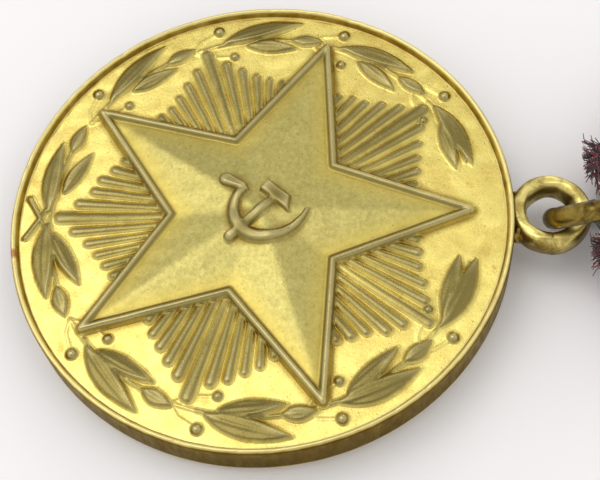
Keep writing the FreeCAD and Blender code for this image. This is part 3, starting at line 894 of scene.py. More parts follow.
class FaceGrid:
    """The struck face on one polar grid, which is cut into sectors."""

    def __init__(self, relief: FaceRelief, disc: Disc) -> None:
        """Works out height, finish maps and normals of the whole face.

        The grid runs from the centre to the rim's foot and once round. Height is the field plus the
        relief.

        Args:
            relief: Height of the face.
            disc: Disc that the face belongs to.
        """
        self.disc = disc
        radii = np.linspace(0, disc.face_r, disc.rings + 1)[1:]
        turns = math.pi / 2 + np.arange(disc.spokes) * 2 * math.pi / disc.spokes
        radius, turn = np.meshgrid(radii, turns, indexing="ij")
        self.x, self.y = radius * np.cos(turn), radius * np.sin(turn)
        height = self._soften(relief(self.x, self.y), radii)
        inside = -relief.star.outside(self.x, self.y)
        # finish maps: painted shade and highlight on the relief, painted shade by the star's border
        self.wear_and_shade = {
            "cavity": relief.cavity(self.x, self.y, height),
            "satin": np.clip(0.5 + inside / 0.2, 0, 1),
            "heart": np.clip(inside / 2.2, 0, 1),
            "raised": self._soften(relief.raised(self.x, self.y), radii),
        }
        self.z = disc.field + height
        self.normals = self._normals()

    @staticmethod
    def _soften(height: Array, radii: Array) -> Array:
        """Rounds the finest edges: a running mean of three, twice each way, wider near the centre.

        Args:
            height: Values on the grid.
            radii: Radius of each ring.

        Returns:
            The softened values.
        """
        height = height.copy()
        for _ in range(2):
            height[1:-1] = (height[:-2] + 2 * height[1:-1] + height[2:]) / 4
            height = (np.roll(height, 1, 1) + 2 * height + np.roll(height, -1, 1)) / 4
        near = radii < 7
        for shift in (1, 2):
            part = height[near]
            height[near] = (np.roll(part, shift, 1) + 2 * part + np.roll(part, -shift, 1)) / 4
        return height

    def _normals(self) -> Array:
        """Returns the unit cross product of the steps outward and round, so sectors meet unseen."""
        place = np.stack([self.x, self.y, self.z], 2)
        around = (np.roll(place, -1, 1) - np.roll(place, 1, 1)) / 2
        normal = np.cross(np.gradient(place, axis=0), around)
        return normal / np.linalg.norm(normal, axis=2, keepdims=True)

    def sector(self, number: int) -> bpy.types.Object:
        """Makes the mesh of one sector, with a fan that closes the centre.

        Args:
            number: Which sector, from 0.

        Returns:
            The piece.
        """
        width = self.disc.spokes // self.disc.sectors
        columns = (np.arange(width + 1) + number * width) % self.disc.spokes
        rows = self.x.shape[0]

        def pick(values: Array) -> Array:
            """Returns this sector's values, one row for each vertex."""
            return values[:, columns].reshape(rows * (width + 1), -1)

        centre = [[0.0, 0.0, float(self.z[0].mean())]]
        points = np.vstack([np.hstack([pick(self.x), pick(self.y), pick(self.z)]), centre])
        normals = np.vstack([pick(self.normals), [[0.0, 0.0, 1.0]]])
        faces = grid_faces(rows, width + 1)
        faces += [(len(points) - 1, k, k + 1) for k in range(width)]
        wear_and_shade = {key: np.append(pick(values), float(values[0].mean()))
                for key, values in self.wear_and_shade.items()}
        return add_mesh(f"medal_face_{number + 1}", points, faces, normals, **wear_and_shade)


# ---- eyelet and ring ----------------------------------------------------------------------------
@dataclass(frozen=True)
class WireLoop:
    """A closed or split ring whose section is a superellipse, in millimetres.

    Attributes:
        centre: Middle of the ring.
        axis: Direction that the ring goes round.
        start: Direction of the first section.
        radius: Radius of the section's middle.
        half_in: Half the section across the axis.
        half_up: Half the section along the axis.
        power: Power of the superellipse: 2 is an ellipse, and more is squarer.
        gap: Angle left open at the split.
        rub_out: Wear of the outer side over the inner side.
        rub_and_light_up: Rubbing and painted highlight toward the axis, painted shade opposite.
        waves: Height of the unevenness.
        around: Vertices along the ring.
        section: Vertices round the section.
    """

    centre: Vector
    axis: Vector
    start: Vector
    radius: float
    half_in: float
    half_up: float
    power: float
    gap: float
    rub_out: float
    rub_and_light_up: float
    waves: float
    around: int
    section: int

    def build(self, name: str, seed: int) -> bpy.types.Object:
        """Makes the ring.

        A section point lies at the superellipse's radius in its direction, made larger or smaller
        by waves that run over the surface, and the section is carried round the axis.

        Args:
            name: Object name.
            seed: Random seed of the unevenness.

        Returns:
            The piece.
        """
        axis, first = np.array(self.axis.normalized()), np.array(self.start.normalized())
        second = np.cross(axis, first)
        closed = self.gap == 0
        turns = np.linspace(self.gap / 2, 2 * math.pi - self.gap / 2, self.around,
                            endpoint=not closed)
        arc = np.arange(self.section) * 2 * math.pi / self.section
        turn, part = np.meshgrid(turns, arc, indexing="ij")
        sides = np.abs(np.cos(part)) ** self.power + np.abs(np.sin(part)) ** self.power
        reach = sides ** (-1 / self.power)
        ripple = Ripple(seed, 14, (0.6, 3.0), self.waves)
        swell = ripple(turn * self.radius, part * self.half_in) - 1.5 * self.waves
        uneven = 1 + swell / self.half_in
        out = self.radius + self.half_in * reach * np.cos(part) * uneven
        rise = self.half_up * reach * np.sin(part) * uneven
        outward = np.cos(turn)[..., None] * first + np.sin(turn)[..., None] * second
        points = np.array(self.centre) + out[..., None] * outward + rise[..., None] * axis
        faces = grid_faces(self.around, self.section, wrap_rows=closed, wrap_columns=True)
        if not closed:
            faces += end_caps(self.around, self.section)
        # the outer side rubbed apart from the inner; towards the axis a painted highlight, away
        # painted shade
        wear_and_shade = 0.5 + self.rub_out * np.cos(part) + self.rub_and_light_up * np.sin(part)
        wear_and_shade += 0.12 * np.sin(turn * 5)
        return add_mesh(name, points.reshape(-1, 3), faces, cavity=np.clip(wear_and_shade, 0, 1))


@dataclass
class Eyelet:
    """Round-edged eyelet on the disc's edge, and the two beads of solder beside it.

    Attributes:
        outer: Outer radius in millimetres, as all sizes here.
        bore: Radius of the hole.
        sunk: Distance of the top below the CAD node's.
        proud: Extra half thickness at the crest.
        aside: Place of the centre beside the middle line.
        bead_x: Distance of a bead from the middle line.
        bead_y: Height of the beads up the disc.
        bead_low: Distance of a bead's middle below the eyelet's.
        bead: Half sizes of a bead.
    """

    outer: float = 2.62
    bore: float = 1.44
    sunk: float = 0.06
    proud: float = 0.14
    aside: float = -0.09
    bead_x: float = 1.28
    bead_y: float = 16.12
    bead_low: float = 0.08
    bead: tuple[float, float, float] = (0.50, 0.30, 0.72)

    def build(self, finishes: Finishes) -> list[bpy.types.Object]:
        """Makes and dresses the eyelet and its beads.

        Args:
            finishes: Every finish of the medal.

        Returns:
            The pieces.
        """
        low, high = node_box("suspension_eyelet")
        centre = Vector((self.aside, high.y - self.outer - self.sunk, (low.z + high.z) / 2))
        # the eyelet is lighter on top, rubbed and a painted highlight, and darker underneath,
        # painted shade
        loop = WireLoop(centre, Vector((0, 0, 1)), Vector((1, 0, 0)), (self.outer + self.bore) / 2,
                        (self.outer - self.bore) / 2, (high.z - low.z) / 2 + self.proud,
                        power=2.5, gap=0, rub_out=-0.16, rub_and_light_up=0.34, waves=0.016,
                        around=220, section=48)
        pieces = [dress(loop.build("eyelet_ring", SEED + 7), Body.MEDAL, finishes.eyelet,
                        "suspension_eyelet")]
        for side, name in ((-1, "solder_left"), (1, "solder_right")):
            place = Vector((side * self.bead_x, self.bead_y, centre.z - self.bead_low))
            pieces.append(dress(self._bead(name, place, SEED + 8 + side), Body.MEDAL,
                                finishes.solder, "eyelet_solder"))
        return pieces

    def _bead(self, name: str, centre: Vector, seed: int) -> bpy.types.Object:
        """Makes an ellipsoid that random waves make uneven, with closed poles.

        Args:
            name: Object name.
            centre: Middle of the bead.
            seed: Random seed.

        Returns:
            The piece.
        """
        rows, columns = 18, 28
        tilt = np.linspace(0.05, math.pi - 0.05, rows)
        turn = np.arange(columns) * 2 * math.pi / columns
        tilt, turn = np.meshgrid(tilt, turn, indexing="ij")
        across = np.sin(tilt)
        unit = np.stack([across * np.cos(turn), across * np.sin(turn), np.cos(tilt)], 2)
        ripple = Ripple(seed, 10, (1.2, 3.0), 0.10)
        uneven = 1 + ripple(unit[..., 0] * 2, unit[..., 2] * 2 + unit[..., 1])
        points = np.array(centre) + unit * uneven[..., None] * np.array(self.bead)
        faces = grid_faces(rows, columns, wrap_columns=True) + end_caps(rows, columns)
        return add_mesh(name, points.reshape(-1, 3), faces, cavity=np.full(rows * columns, 0.4))


@dataclass
class JumpRing:
    """Split ring of round wire that joins the eyelet and the lug.

    Attributes:
        radius: Radius of the wire's middle, in millimetres.
        wire: Half the wire's thickness.
        split_at: Angle of the split from the level direction, in degrees.
        split: Angle of the open split, in degrees.
    """

    radius: float = 3.0
    wire: float = 0.69
    split_at: float = 150.0
    split: float = 2.0

    def build(self, finishes: Finishes) -> list[bpy.types.Object]:
        """Makes and dresses the ring on the axis that the medal turns about.

        Args:
            finishes: Every finish of the medal.

        Returns:
            The one piece.
        """
        joint = joint_of("medal_fold")
        axis = Vector(joint["axis"])
        level = axis.cross(Vector((0, 0, 1))).normalized()
        if level.y > 0:
            level = -level
        start = Matrix.Rotation(math.radians(self.split_at), 3, axis) @ level
        loop = WireLoop(joint_point("medal_fold"), axis, start, self.radius, self.wire, self.wire,
                        power=2.1, gap=math.radians(self.split), rub_out=0.3, rub_and_light_up=0,
                        waves=0.010, around=260, section=44)
        return [dress(loop.build("jump_ring_wire", SEED + 11), Body.RING, finishes.ring,
                      "jump_ring")]


# ---- ribbon -------------------------------------------------------------------------------------
@dataclass(frozen=True)
class Tuft:
    """A tuft of loose thread ends on one side of the lug.

    Attributes:
        side: -1 for the left and 1 for the right.
        inner: Nearest distance from the middle, in millimetres.
        outer: Furthest distance from the middle.
        count: Number of threads.
    """

    side: int
    inner: float
    outer: float
    count: int


@dataclass
class Ribbon:
    """Ribbon folded over the plate's top and lower edges, with frayed ends at the lug.

    Attributes:
        half: Half the ribbon's width, in millimetres as all sizes here.
        foot_half: Half the straight foot of the block.
        slope: Slope of the lower edges in degrees.
        notch_r: Radius cut away round the lug hole.
        turn_in: Length of ribbon folded onto the back.
        cloth: Thickness of the cloth.
        fold: Distance that a fold reaches past its edge.
        tufts: Tufts of loose ends.
        eyelet_reach: Distance from the middle within which the ends are cut shorter, clear of the
            eyelet.
        near_out: How far the ends may stand out there.
        far_out: How far they may stand out elsewhere.
        root: Distance of a thread's root inside the cut edge.
        length: Shortest and longest thread at the side of a tuft; at its middle they are longer.
        curl: Spread of the curl.
        thread: Half thickness of a thread.
        shares: Share of red, dark and pale threads.
    """

    half: float = 12.1
    foot_half: float = 4.2
    slope: float = 36.0
    notch_r: float = 2.95
    turn_in: float = 3.0
    cloth: float = 0.22
    fold: float = 0.15
    tufts: tuple[Tuft, ...] = (Tuft(-1, 1.3, 4.2, 520), Tuft(1, 1.8, 3.8, 380))
    eyelet_reach: float = 2.3
    near_out: float = 0.45
    far_out: float = 1.2
    root: float = 0.35
    length: tuple[float, float] = (0.35, 1.3)
    curl: float = 0.6
    thread: float = 0.055
    shares: tuple[float, float, float] = (0.52, 0.38, 0.10)

    def __post_init__(self) -> None:
        """Reads the block's place from the frame."""
        self.low, self.high = node_box("ribbon")
        plate_low, plate_high = node_box("front_plate")
        self.middle = (plate_low.x + plate_high.x) / 2
        self.bottom, self.top = plate_low.z, plate_high.z
        self.lug_y = joint_point("ring_swing").y

    def build(self, finishes: Finishes) -> list[bpy.types.Object]:
        """Makes and dresses the cloth and the loose threads.

        Args:
            finishes: Every finish of the medal.

        Returns:
            The pieces.
        """
        pieces = [dress(self._cloth(), Body.BLOCK, finishes.ribbon, "ribbon")]
        for colour, lines in self._loose_ends().items():
            pieces.append(dress(self._threads(colour, lines), Body.BLOCK,
                                finishes.threads[colour]))
        return pieces

    def _foot(self, x: Array) -> Array:
        """Returns the lower edge: level, then sloping up, and round above the lug hole.

        Args:
            x: Places across, in millimetres.
        """
        slope = math.tan(math.radians(self.slope))
        edge = self.low.y + 0.12 + np.maximum(np.abs(x) - self.foot_half, 0) * slope
        cut = self.notch_r ** 2 - x ** 2
        notch = self.lug_y + np.sqrt(np.maximum(cut, 0))
        return np.where(cut > 0, np.maximum(edge, notch), edge)

    def _cloth(self) -> bpy.types.Object:
        """Makes the folded cloth as one thin sheet.

        Rows run across the ribbon. They go along the turned-in hem, round the lower fold on half an
        ellipse, up the front, round the upper fold and down the back. At the lug the hem is only
        tucked.
        """
        columns, hem_rows, front_rows = 161, 7, 110
        x = np.linspace(-self.half, self.half, columns)
        foot, head = self._foot(x), np.full(columns, self.high.y - 0.12 - self.fold)
        lug = np.abs(x) < self.notch_r
        front, back = self.top + 0.14, self.bottom - 0.20
        middle, bulge = (front + back) / 2, (front - back) / 2
        share = np.linspace(1, 0, hem_rows)[:, None]
        hem_y = foot + self.fold + np.where(lug, 0.25, self.turn_in) * share
        hem_z = np.where(lug, front - 0.05 - 0.07 * share, back)
        turn = np.radians([-60, -30, 0, 30, 60])[:, None]
        lower_y = foot + self.fold - np.where(lug, 0.1, 0.2) * np.cos(turn)
        lower_z = np.where(lug, front - 0.02 + 0.02 * np.sin(turn), middle + bulge * np.sin(turn))
        rise = np.linspace(0, 1, front_rows)[:, None]
        front_y = foot + self.fold + (head - foot - self.fold) * rise
        weave = Ripple(SEED + 4, 18, (2.0, 8.0), 0.02)
        front_z = front + np.abs(weave(np.broadcast_to(x, front_y.shape), front_y)) * 0.8
        upper_y = head + 0.2 * np.cos(turn)
        upper_z = np.broadcast_to(middle - bulge * np.sin(turn), upper_y.shape)
        end_y = head - self.turn_in * share[::-1]
        end_z = np.full(end_y.shape, back)
        y = np.vstack([hem_y, lower_y, front_y, upper_y, end_y])
        z = np.vstack([hem_z, lower_z, front_z, upper_z, end_z])
        points = np.stack([np.broadcast_to(x + self.middle, y.shape), y, z], 2)
        sheet = add_mesh("ribbon_cloth", points.reshape(-1, 3), grid_faces(len(y), columns))
        thick = sheet.modifiers.new("cloth", "SOLIDIFY")
        thick.thickness = self.cloth * MM
        thick.offset = 0
        return sheet

    def _loose_ends(self) -> dict[str, Array]:
        """Returns the middle lines of the loose threads, by colour.

        A line starts at the cut edge. It goes straight by its length times its heading, and a
        random curl bends it by the square of the way along. None goes further out than a limit that
        steps back beside the eyelet.
        """
        rng = np.random.default_rng(SEED + 5)
        along = np.linspace(0, 1, 8)[:, None]
        lines = []
        for tuft in self.tufts:
            offset = rng.uniform(tuft.inner, tuft.outer, tuft.count)
            reach = 1 - np.abs(offset - (tuft.inner + tuft.outer) / 2) / (tuft.outer - tuft.inner)
            root = np.full(tuft.count, self.low.y + self.root)
            start = np.stack([self.middle + tuft.side * offset, root,
                              self.top + rng.uniform(-0.15, 0.3, tuft.count)], 1)
            heading = np.stack([rng.normal(0, 0.3, tuft.count), np.full(tuft.count, -1.0),
                                rng.normal(0.05, 0.2, tuft.count)], 1)
            length = (rng.uniform(*self.length, tuft.count) * (0.5 + reach))[:, None, None]
            curl = rng.normal(0, self.curl, (tuft.count, 3))
            line = start[:, None] + along * heading[:, None] * length \
                + along ** 2 * curl[:, None] * length * 0.5
            line[..., 2] = np.clip(line[..., 2], self.bottom - 0.1, self.top + 0.6)
            clear = np.clip((offset - self.eyelet_reach) / 0.6, 0, 1)[:, None]
            limit = self.low.y - self.near_out - (self.far_out - self.near_out) * clear
            line[..., 1] = np.maximum(line[..., 1], limit)
            lines.append(line)
        every = np.concatenate(lines)
        colour = rng.choice(len(self.shares), len(every), p=self.shares)
        return {name: every[colour == k] for k, name in enumerate(("red", "dark", "pale"))}

    def _threads(self, colour: str, lines: Array) -> bpy.types.Object:
        """Carries a five-sided section, smaller towards the tip, along each line.

        Args:
            colour: Name of the colour.
            lines: Points of each line, one row for each thread.

        Returns:
            One piece that holds every thread of the colour.
        """
        sides, steps = 5, lines.shape[1]
        run = np.gradient(lines, axis=1)
        side = np.cross(run, [0.0, 0.0, 1.0])
        side /= np.linalg.norm(side, axis=2, keepdims=True) + 1e-9
        up = np.cross(side, run)
        up /= np.linalg.norm(up, axis=2, keepdims=True) + 1e-9
        size = (self.thread * (1 - 0.55 * np.arange(steps) / steps))[:, None, None]
        turn = (np.arange(sides) * 2 * math.pi / sides)[:, None]
        ring = side[:, :, None] * np.cos(turn) + up[:, :, None] * np.sin(turn)
        points = lines[:, :, None] + size * ring
        base = (np.arange(len(lines)) * steps * sides)[:, None, None]
        tube = np.array(grid_faces(steps, sides, wrap_columns=True))
        faces = (tube + base).reshape(-1, 4).tolist()
        faces += (np.array(end_caps(steps, sides)) + base).reshape(-1, sides).tolist()
        return add_mesh(f"ribbon_fray_{colour}", points.reshape(-1, 3), faces)


@dataclass
class Block:
    """Plates, hinge, catch, rivets, pintle and needle: CAD shapes that stay, with better finishes.

    Attributes:
        plates: Nodes cut or pressed from sheet.
        wires: Nodes made of drawn wire.
        rivets: Nodes of soft rivet metal.
    """

    plates: tuple[str, ...] = ("front_plate", "back_plate", "pin_hinge", "pin_catch")
    wires: tuple[str, ...] = ("pin_pintle", "pin_needle")
    rivets: tuple[str, ...] = ("back_rivets",)

    def build(self, finishes: Finishes) -> list[bpy.types.Object]:
        """Gives each CAD piece its finish.

        Args:
            finishes: Every finish of the medal.

        Returns:
            The pieces.
        """
        pieces = []
        for nodes, material in ((self.plates, finishes.plate), (self.wires, finishes.steel),
                                (self.rivets, finishes.rivet)):
            for node in nodes:
                piece = FRAME["nodes"][node]
                piece.data.materials.clear()
                piece.data.materials.append(material)
                pieces.append(piece)
        return pieces


# ---- finishes -----------------------------------------------------------------------------------
def linear(code: str) -> tuple[float, float, float, float]:
    """Returns a linear colour from an sRGB hex code.

    A dark part is divided by 12.92, and any other is moved, scaled and raised to the power 2.4.

    Args:
        code: Six hex digits, red first.
    """
    parts = [int(code[i:i + 2], 16) / 255 for i in (0, 2, 4)]
    red, green, blue = (c / 12.92 if c <= 0.04045 else ((c + 0.055) / 1.055) ** 2.4 for c in parts)
    return red, green, blue, 1.0


def add_node(tree: bpy.types.NodeTree, kind: str, feeds: dict[int | str, Feed],
             out: int | str = 0, stops: Sequence[tuple[float, str]] = (),
             **settings: str) -> bpy.types.NodeSocket:
    """Adds a node with its settings and links.

    Args:
        tree: Tree that gets the node.
        kind: Type of node, without its prefix.
        feeds: What each input gets: a socket is linked, a number set, a hex code made a colour.
        out: Output to return.
        stops: Positions and colours, where the node has a colour ramp.
        **settings: The node's own settings.

    Returns:
        The chosen output.
    """
    node = tree.nodes.new("ShaderNode" + kind)
    for key, value in settings.items():
        setattr(node, key, value)
    for key, value in feeds.items():
        if isinstance(value, bpy.types.NodeSocket):
            tree.links.new(value, node.inputs[key])
        else:
            node.inputs[key].default_value = linear(value) if isinstance(value, str) else value
    for number, (at, code) in enumerate(stops):
        elements = node.color_ramp.elements
        element = elements[number] if number < len(elements) else elements.new(at)
        element.position, element.color = at, linear(code)
    return node.outputs[out]


@dataclass(frozen=True)
class Finish:
    """What every finish has: its name, and the shader's own constants.

    Attributes:
        name: Material name.
        metallic: 1 for bare metal, 0 for cloth and card.
        sheen: Strength of the fibres' sheen.
        glance: Tint of what the surface reflects at a low angle.
    """

    name: str
    metallic: float = 1.0
    sheen: float = 0.0
    glance: str = "FFFFFF"

    def material(self) -> bpy.types.Material:
        """Makes the material, whose patterns read Object coordinates in millimetres."""
        material = bpy.data.materials.new(self.name)
        material.use_nodes = True
        tree = material.node_tree
        shader = tree.nodes["Principled BSDF"]
        shader.inputs["Metallic"].default_value = self.metallic
        shader.inputs["Sheen Weight"].default_value = self.sheen
        shader.inputs["Specular Tint"].default_value = linear(self.glance)
        add = partial(add_node, tree)
        place = add("VectorMath", {0: add("TexCoord", {}, "Object"), "Scale": 1 / MM},
                    operation="SCALE")
        for key, socket in zip(("Base Color", "Roughness", "Normal"), self.pattern(add, place)):
            tree.links.new(socket, shader.inputs[key])
        return material

    def pattern(self, add: Adder, place: bpy.types.NodeSocket) -> Surface:
        """Returns the colour, roughness and normal of the surface.

        Args:
            add: Adds a node to the material.
            place: Object coordinates in millimetres.
        """
        raise NotImplementedError


def noise(add: Adder, place: bpy.types.NodeSocket, size: float, detail: float, rough: float,
          warp: float = 0) -> bpy.types.NodeSocket:
    """Returns clouds about a middle of 0.5.

    Args:
        add: Adds a node to the material.
        place: Coordinates in millimetres.
        size: Size of a cloud in millimetres.
        detail: How many times finer clouds are added.
        rough: Share of the finer clouds.
        warp: How far the clouds are pulled about.
    """
    return add("TexNoise", {"Vector": place, "Scale": 1 / size, "Detail": detail,
                            "Roughness": rough, "Distortion": warp})


def spread(add: Adder, source: bpy.types.NodeSocket, low: float,
           high: float) -> bpy.types.NodeSocket:
    """Returns clouds stretched to a range, where 0.3 becomes the low end and 0.7 the high.

    Args:
        add: Adds a node to the material.
        source: Clouds about a middle of 0.5.
        low: Low end.
        high: High end.
    """
    return add("MapRange", {0: source, 1: 0.3, 2: 0.7, 3: low, 4: high})


def lay(add: Adder, tone: Feed, *layers: Layer) -> bpy.types.NodeSocket:
    """Lays colours over each other, each where its source goes from one value to another.

    Args:
        add: Adds a node to the material.
        tone: Colour at the bottom.
        *layers: Source, its value where the colour starts and where it is strongest, how strong
            it is there, and the colour.

    Returns:
        The colour on top.
    """
    for source, start, full, strength, colour in layers:
        share = add("MapRange", {0: source, 1: start, 2: full, 4: strength})
        tone = add("Mix", {0: share, 6: tone, 7: colour}, 2, data_type="RGBA")
    return tone


@dataclass(frozen=True)
class StruckBrass(Finish):
    """Brass struck in a die: mirror-like yellow field, satin star, olive tarnish on proud forms.

    The eye gets bright and dull gold side by side, brown in the hollows as painted shade, light
    crests as a painted highlight, a star painted lighter in its middle, and fine grain all over.
    """

    cloud_mm: float = 1.8
    stain_mm: float = 0.9
    star_mm: float = 0.33
    speck_mm: float = 0.18
    pit_mm: float = 0.2
    # the real grain is about 0.02 mm, drawn at 0.07 so that it shows
    grain_mm: float = 0.07
    grain_deep_mm: float = 0.008
    pit_deep_mm: float = 0.02

    def pattern(self, add: Adder, place: bpy.types.NodeSocket) -> Surface:
        """Returns gold, olive and brown, with painted shade and highlight, roughness by part, and
        a grain of two sizes.

        Args:
            add: Adds a node to the material.
            place: Object coordinates in millimetres.
        """
        cavity, satin, heart, raised = (add("Attribute", {}, "Fac", attribute_name=key)
                                        for key in ("cavity", "satin", "heart", "raised"))
        cloud, stain, mottle, speck, grain, pit = (noise(add, place, *sizes) for sizes in (
            (self.cloud_mm, 5, 0.65, 0.6), (self.stain_mm, 6, 0.7), (self.star_mm, 6, 0.75),
            (self.speck_mm, 2, 0.5), (self.grain_mm, 4, 0.7), (self.pit_mm, 5, 0.7)))
        # the star's satin, mottled and deeper by its border as painted shade, lighter in its middle
        star = lay(add, "CFC478", (mottle, 0.3, 0.7, 1, "A89C58"),
                   (heart, 0.75, 0.15, 0.6, "D2BA56"))
        # raised forms are olive, lighter on their crests as a painted highlight
        proud = lay(add, "877A45", (cavity, 0.62, 1.0, 1, "BDB078"))
        # the field: clouds, stains and specks of the metal, and brown in the hollows as painted
        # shade
        tone = lay(add, "F8E684", (cloud, 0.38, 0.72, 1, "DEC66A"),
                   (stain, 0.56, 0.72, 0.5, "B98C3E"), (satin, 0, 1, 1, star),
                   (raised, 0, 1, 1, proud),
                   (cavity, 0.40, 0.10, 0.8, "8A6F2B"), (speck, 0.66, 0.74, 0.5, "6E5520"))
        dull = add("MapRange", {0: satin, 3: 0.26, 4: 0.34})
        rough = add("Math", {0: dull, 1: spread(add, grain, -0.05, 0.08)}, operation="ADD")
        normal = add("Bump", {"Height": grain, "Distance": self.grain_deep_mm * MM,
                              "Strength": 0.9})
        normal = add("Bump", {"Height": pit, "Distance": self.pit_deep_mm * MM, "Strength": 0.6,
                              "Normal": normal})
        return tone, rough, normal


@dataclass(frozen=True)
class RubbedBrass(Finish):
    """Edge of a struck disc: bright where fingers rub the crown and as a painted highlight on its
    top, with a side painted dark as shade.

    The eye gets a light line round the face, and a dark side with clouds and one red-brown spot.
    """

    cloud_mm: float = 1.1
    drag_mm: float = 0.45
    drag: tuple[float, float, float] = (1, 1, 0.25)
    grain_mm: float = 0.11
    grain_deep_mm: float = 0.012
    spot: tuple[float, float, float] = (2.7, -15.6, 2.7)
    spot_mm: float = 0.42
    tones: tuple[tuple[float, str], ...] = ((0.3, "3E2606"), (0.50, "5A3E10"), (0.64, "92792F"),
                                            (0.74, "B8A25A"), (0.92, "EADB92"))

    def pattern(self, add: Adder, place: bpy.types.NodeSocket) -> Surface:
        """Returns a ramp over rubbing and painted light, roughness dragged round the edge, and a
        fine grain.

        Args:
            add: Adds a node to the material.
            place: Object coordinates in millimetres.
        """
        # rubbing with painted light: a side dark as painted shade, a crown top lit as painted
        # highlight
        wear_and_shade = add("Attribute", {}, "Fac", attribute_name="cavity")
        cloud = noise(add, place, self.cloud_mm, 5, 0.6, 0.4)
        level = add("Math", {0: wear_and_shade, 1: spread(add, cloud, -0.07, 0.07)}, operation="ADD")
        tone = add("ValToRGB", {0: level}, stops=self.tones)
        away = add("VectorMath", {0: place, 1: self.spot}, "Value", operation="DISTANCE")
        tone = lay(add, tone, (away, self.spot_mm, self.spot_mm / 2, 0.8, "A8623C"))
        flat = add("Mapping", {"Vector": place, "Scale": self.drag})
        rough = spread(add, noise(add, flat, self.drag_mm, 4, 0.6), 0.28, 0.48)
        grain = noise(add, place, self.grain_mm, 4, 0.7)
        normal = add("Bump", {"Height": grain, "Distance": self.grain_deep_mm * MM,
                              "Strength": 0.8})
        return tone, rough, normal


@dataclass(frozen=True)
class TarnishedBrass(Finish):
    """Brass wire or solder that was never polished again: dark, rubbed bright where it is proud.

    The eye gets three tones in clouds, from brown in the bends to gold on the crests; on the
    eyelet the gold top is partly a painted highlight and the brown underside painted shade.
    """

    dark: str = ""
    mid: str = ""
    bright: str = ""
    rough: float = 0.3
    cloud_mm: float = 1.1
    grain_mm: float = 0.12
    grain_deep_mm: float = 0.012

    def pattern(self, add: Adder, place: bpy.types.NodeSocket) -> Surface:
        """Returns a ramp over rubbing and painted light plus clouds, roughness against the clouds,
        and a fine grain.

        Args:
            add: Adds a node to the material.
            place: Object coordinates in millimetres.
        """
        wear_and_shade = add("Attribute", {}, "Fac", attribute_name="cavity")
        cloud = noise(add, place, self.cloud_mm, 6, 0.72, 0.8)
        grain = noise(add, place, self.grain_mm, 4, 0.7)
        part = add("Math", {0: wear_and_shade, 1: 0.35}, operation="MULTIPLY")
        level = add("Math", {0: cloud, 1: 0.75, 2: part}, operation="MULTIPLY_ADD")
        tone = add("ValToRGB", {0: level},
                   stops=((0.28, self.dark), (0.5, self.mid), (0.72, self.bright)))
        rough = spread(add, cloud, self.rough + 0.12, self.rough - 0.05)
        normal = add("Bump", {"Height": grain, "Distance": self.grain_deep_mm * MM,
                              "Strength": 0.7})
        return tone, rough, normal


@dataclass(frozen=True)
class DrawnMetal(Finish):
    """Rolled sheet or drawn wire, bare: even grey with fine marks along the way it was drawn.

    The eye gets a soft sheen that streaks one way, and slight clouds of tarnish.
    """

    dark: str = ""
    bright: str = ""
    rough: float = 0.4
    cloud_mm: float = 2.9
    # rolling marks are a few hundredths of a millimetre wide, drawn at 0.33 so that they show
    mark_mm: float = 0.33
    drawn: tuple[float, float, float] = (1, 0.04, 1)
    mark_deep_mm: float = 0.01

    def pattern(self, add: Adder, place: bpy.types.NodeSocket) -> Surface:
        """Returns two tones in clouds, and marks that are stretched along the second axis.

        Args:
            add: Adds a node to the material.
            place: Object coordinates in millimetres.
        """
        flat = add("Mapping", {"Vector": place, "Scale": self.drawn})
        cloud = noise(add, place, self.cloud_mm, 5, 0.65)
        mark = noise(add, flat, self.mark_mm, 3, 0.6)
        tone = lay(add, self.dark, (cloud, 0.3, 0.7, 1, self.bright))
        rough = spread(add, mark, self.rough - 0.06, self.rough + 0.1)
        normal = add("Bump", {"Height": mark, "Distance": self.mark_deep_mm * MM,
                              "Strength": 0.5})
        return tone, rough, normal


@dataclass(frozen=True)
class WateredSilk(Finish):
    """Silk moire woven in stripes and pressed: red, three yellow stripes, green edges.

    The eye gets flat colour broken by fine cross ribs and by soft waves of sheen.
    """

    middle: float = 0.0
    span: float = 25.0
    # ribs and picks are about half these sizes in silk, drawn coarser so that they show
    rib_mm: float = 0.28
    pick_mm: float = 0.16
    cloth_deep_mm: float = 0.03
    wave_mm: float = 2.0
    pressed: tuple[float, float, float] = (0.5, 2.6, 1)
    stripes: tuple[tuple[float, str], ...] = (
        (0.0, "24402C"), (0.10, "7C1728"), (0.40, "CBA94E"), (0.44, "7C1728"), (0.48, "CBA94E"),
        (0.52, "7C1728"), (0.56, "CBA94E"), (0.60, "7C1728"), (0.90, "24402C"))

    def pattern(self, add: Adder, place: bpy.types.NodeSocket) -> Surface:
        """Returns stripes by the place across, and a bump of ribs and picks as two sines.

        Args:
            add: Adds a node to the material.
            place: Object coordinates in millimetres.
        """
        across, along = (add("SeparateXYZ", {0: place}, axis) for axis in ("X", "Y"))
        share = add("MapRange", {0: across, 1: self.middle - self.span / 2,
                                 2: self.middle + self.span / 2})
        stripe = add("ValToRGB", {0: share}, stops=self.stripes)
        stripe.node.color_ramp.interpolation = "CONSTANT"
        flat = add("Mapping", {"Vector": place, "Scale": self.pressed})
        wave = noise(add, flat, self.wave_mm, 4, 0.6, 1.6)
        level = add("MapRange", {0: wave, 1: 0.35, 2: 0.65, 4: 0.4})
        tone = add("Mix", {0: level, 6: stripe, 7: "F4C8C4"}, 2, data_type="RGBA",
                   blend_type="SOFT_LIGHT")
        rib, pick = (
            add("Math", {0: add("Math", {0: way, 1: 2 * math.pi / size}, operation="MULTIPLY")},
                operation="SINE")
            for way, size in ((along, self.rib_mm), (across, self.pick_mm)))
        weave = add("Math", {0: pick, 1: 0.45, 2: rib}, operation="MULTIPLY_ADD")
        rough = spread(add, wave, 0.42, 0.62)
        normal = add("Bump", {"Height": weave, "Distance": self.cloth_deep_mm * MM,
                              "Strength": 0.6})
        return tone, rough, normal


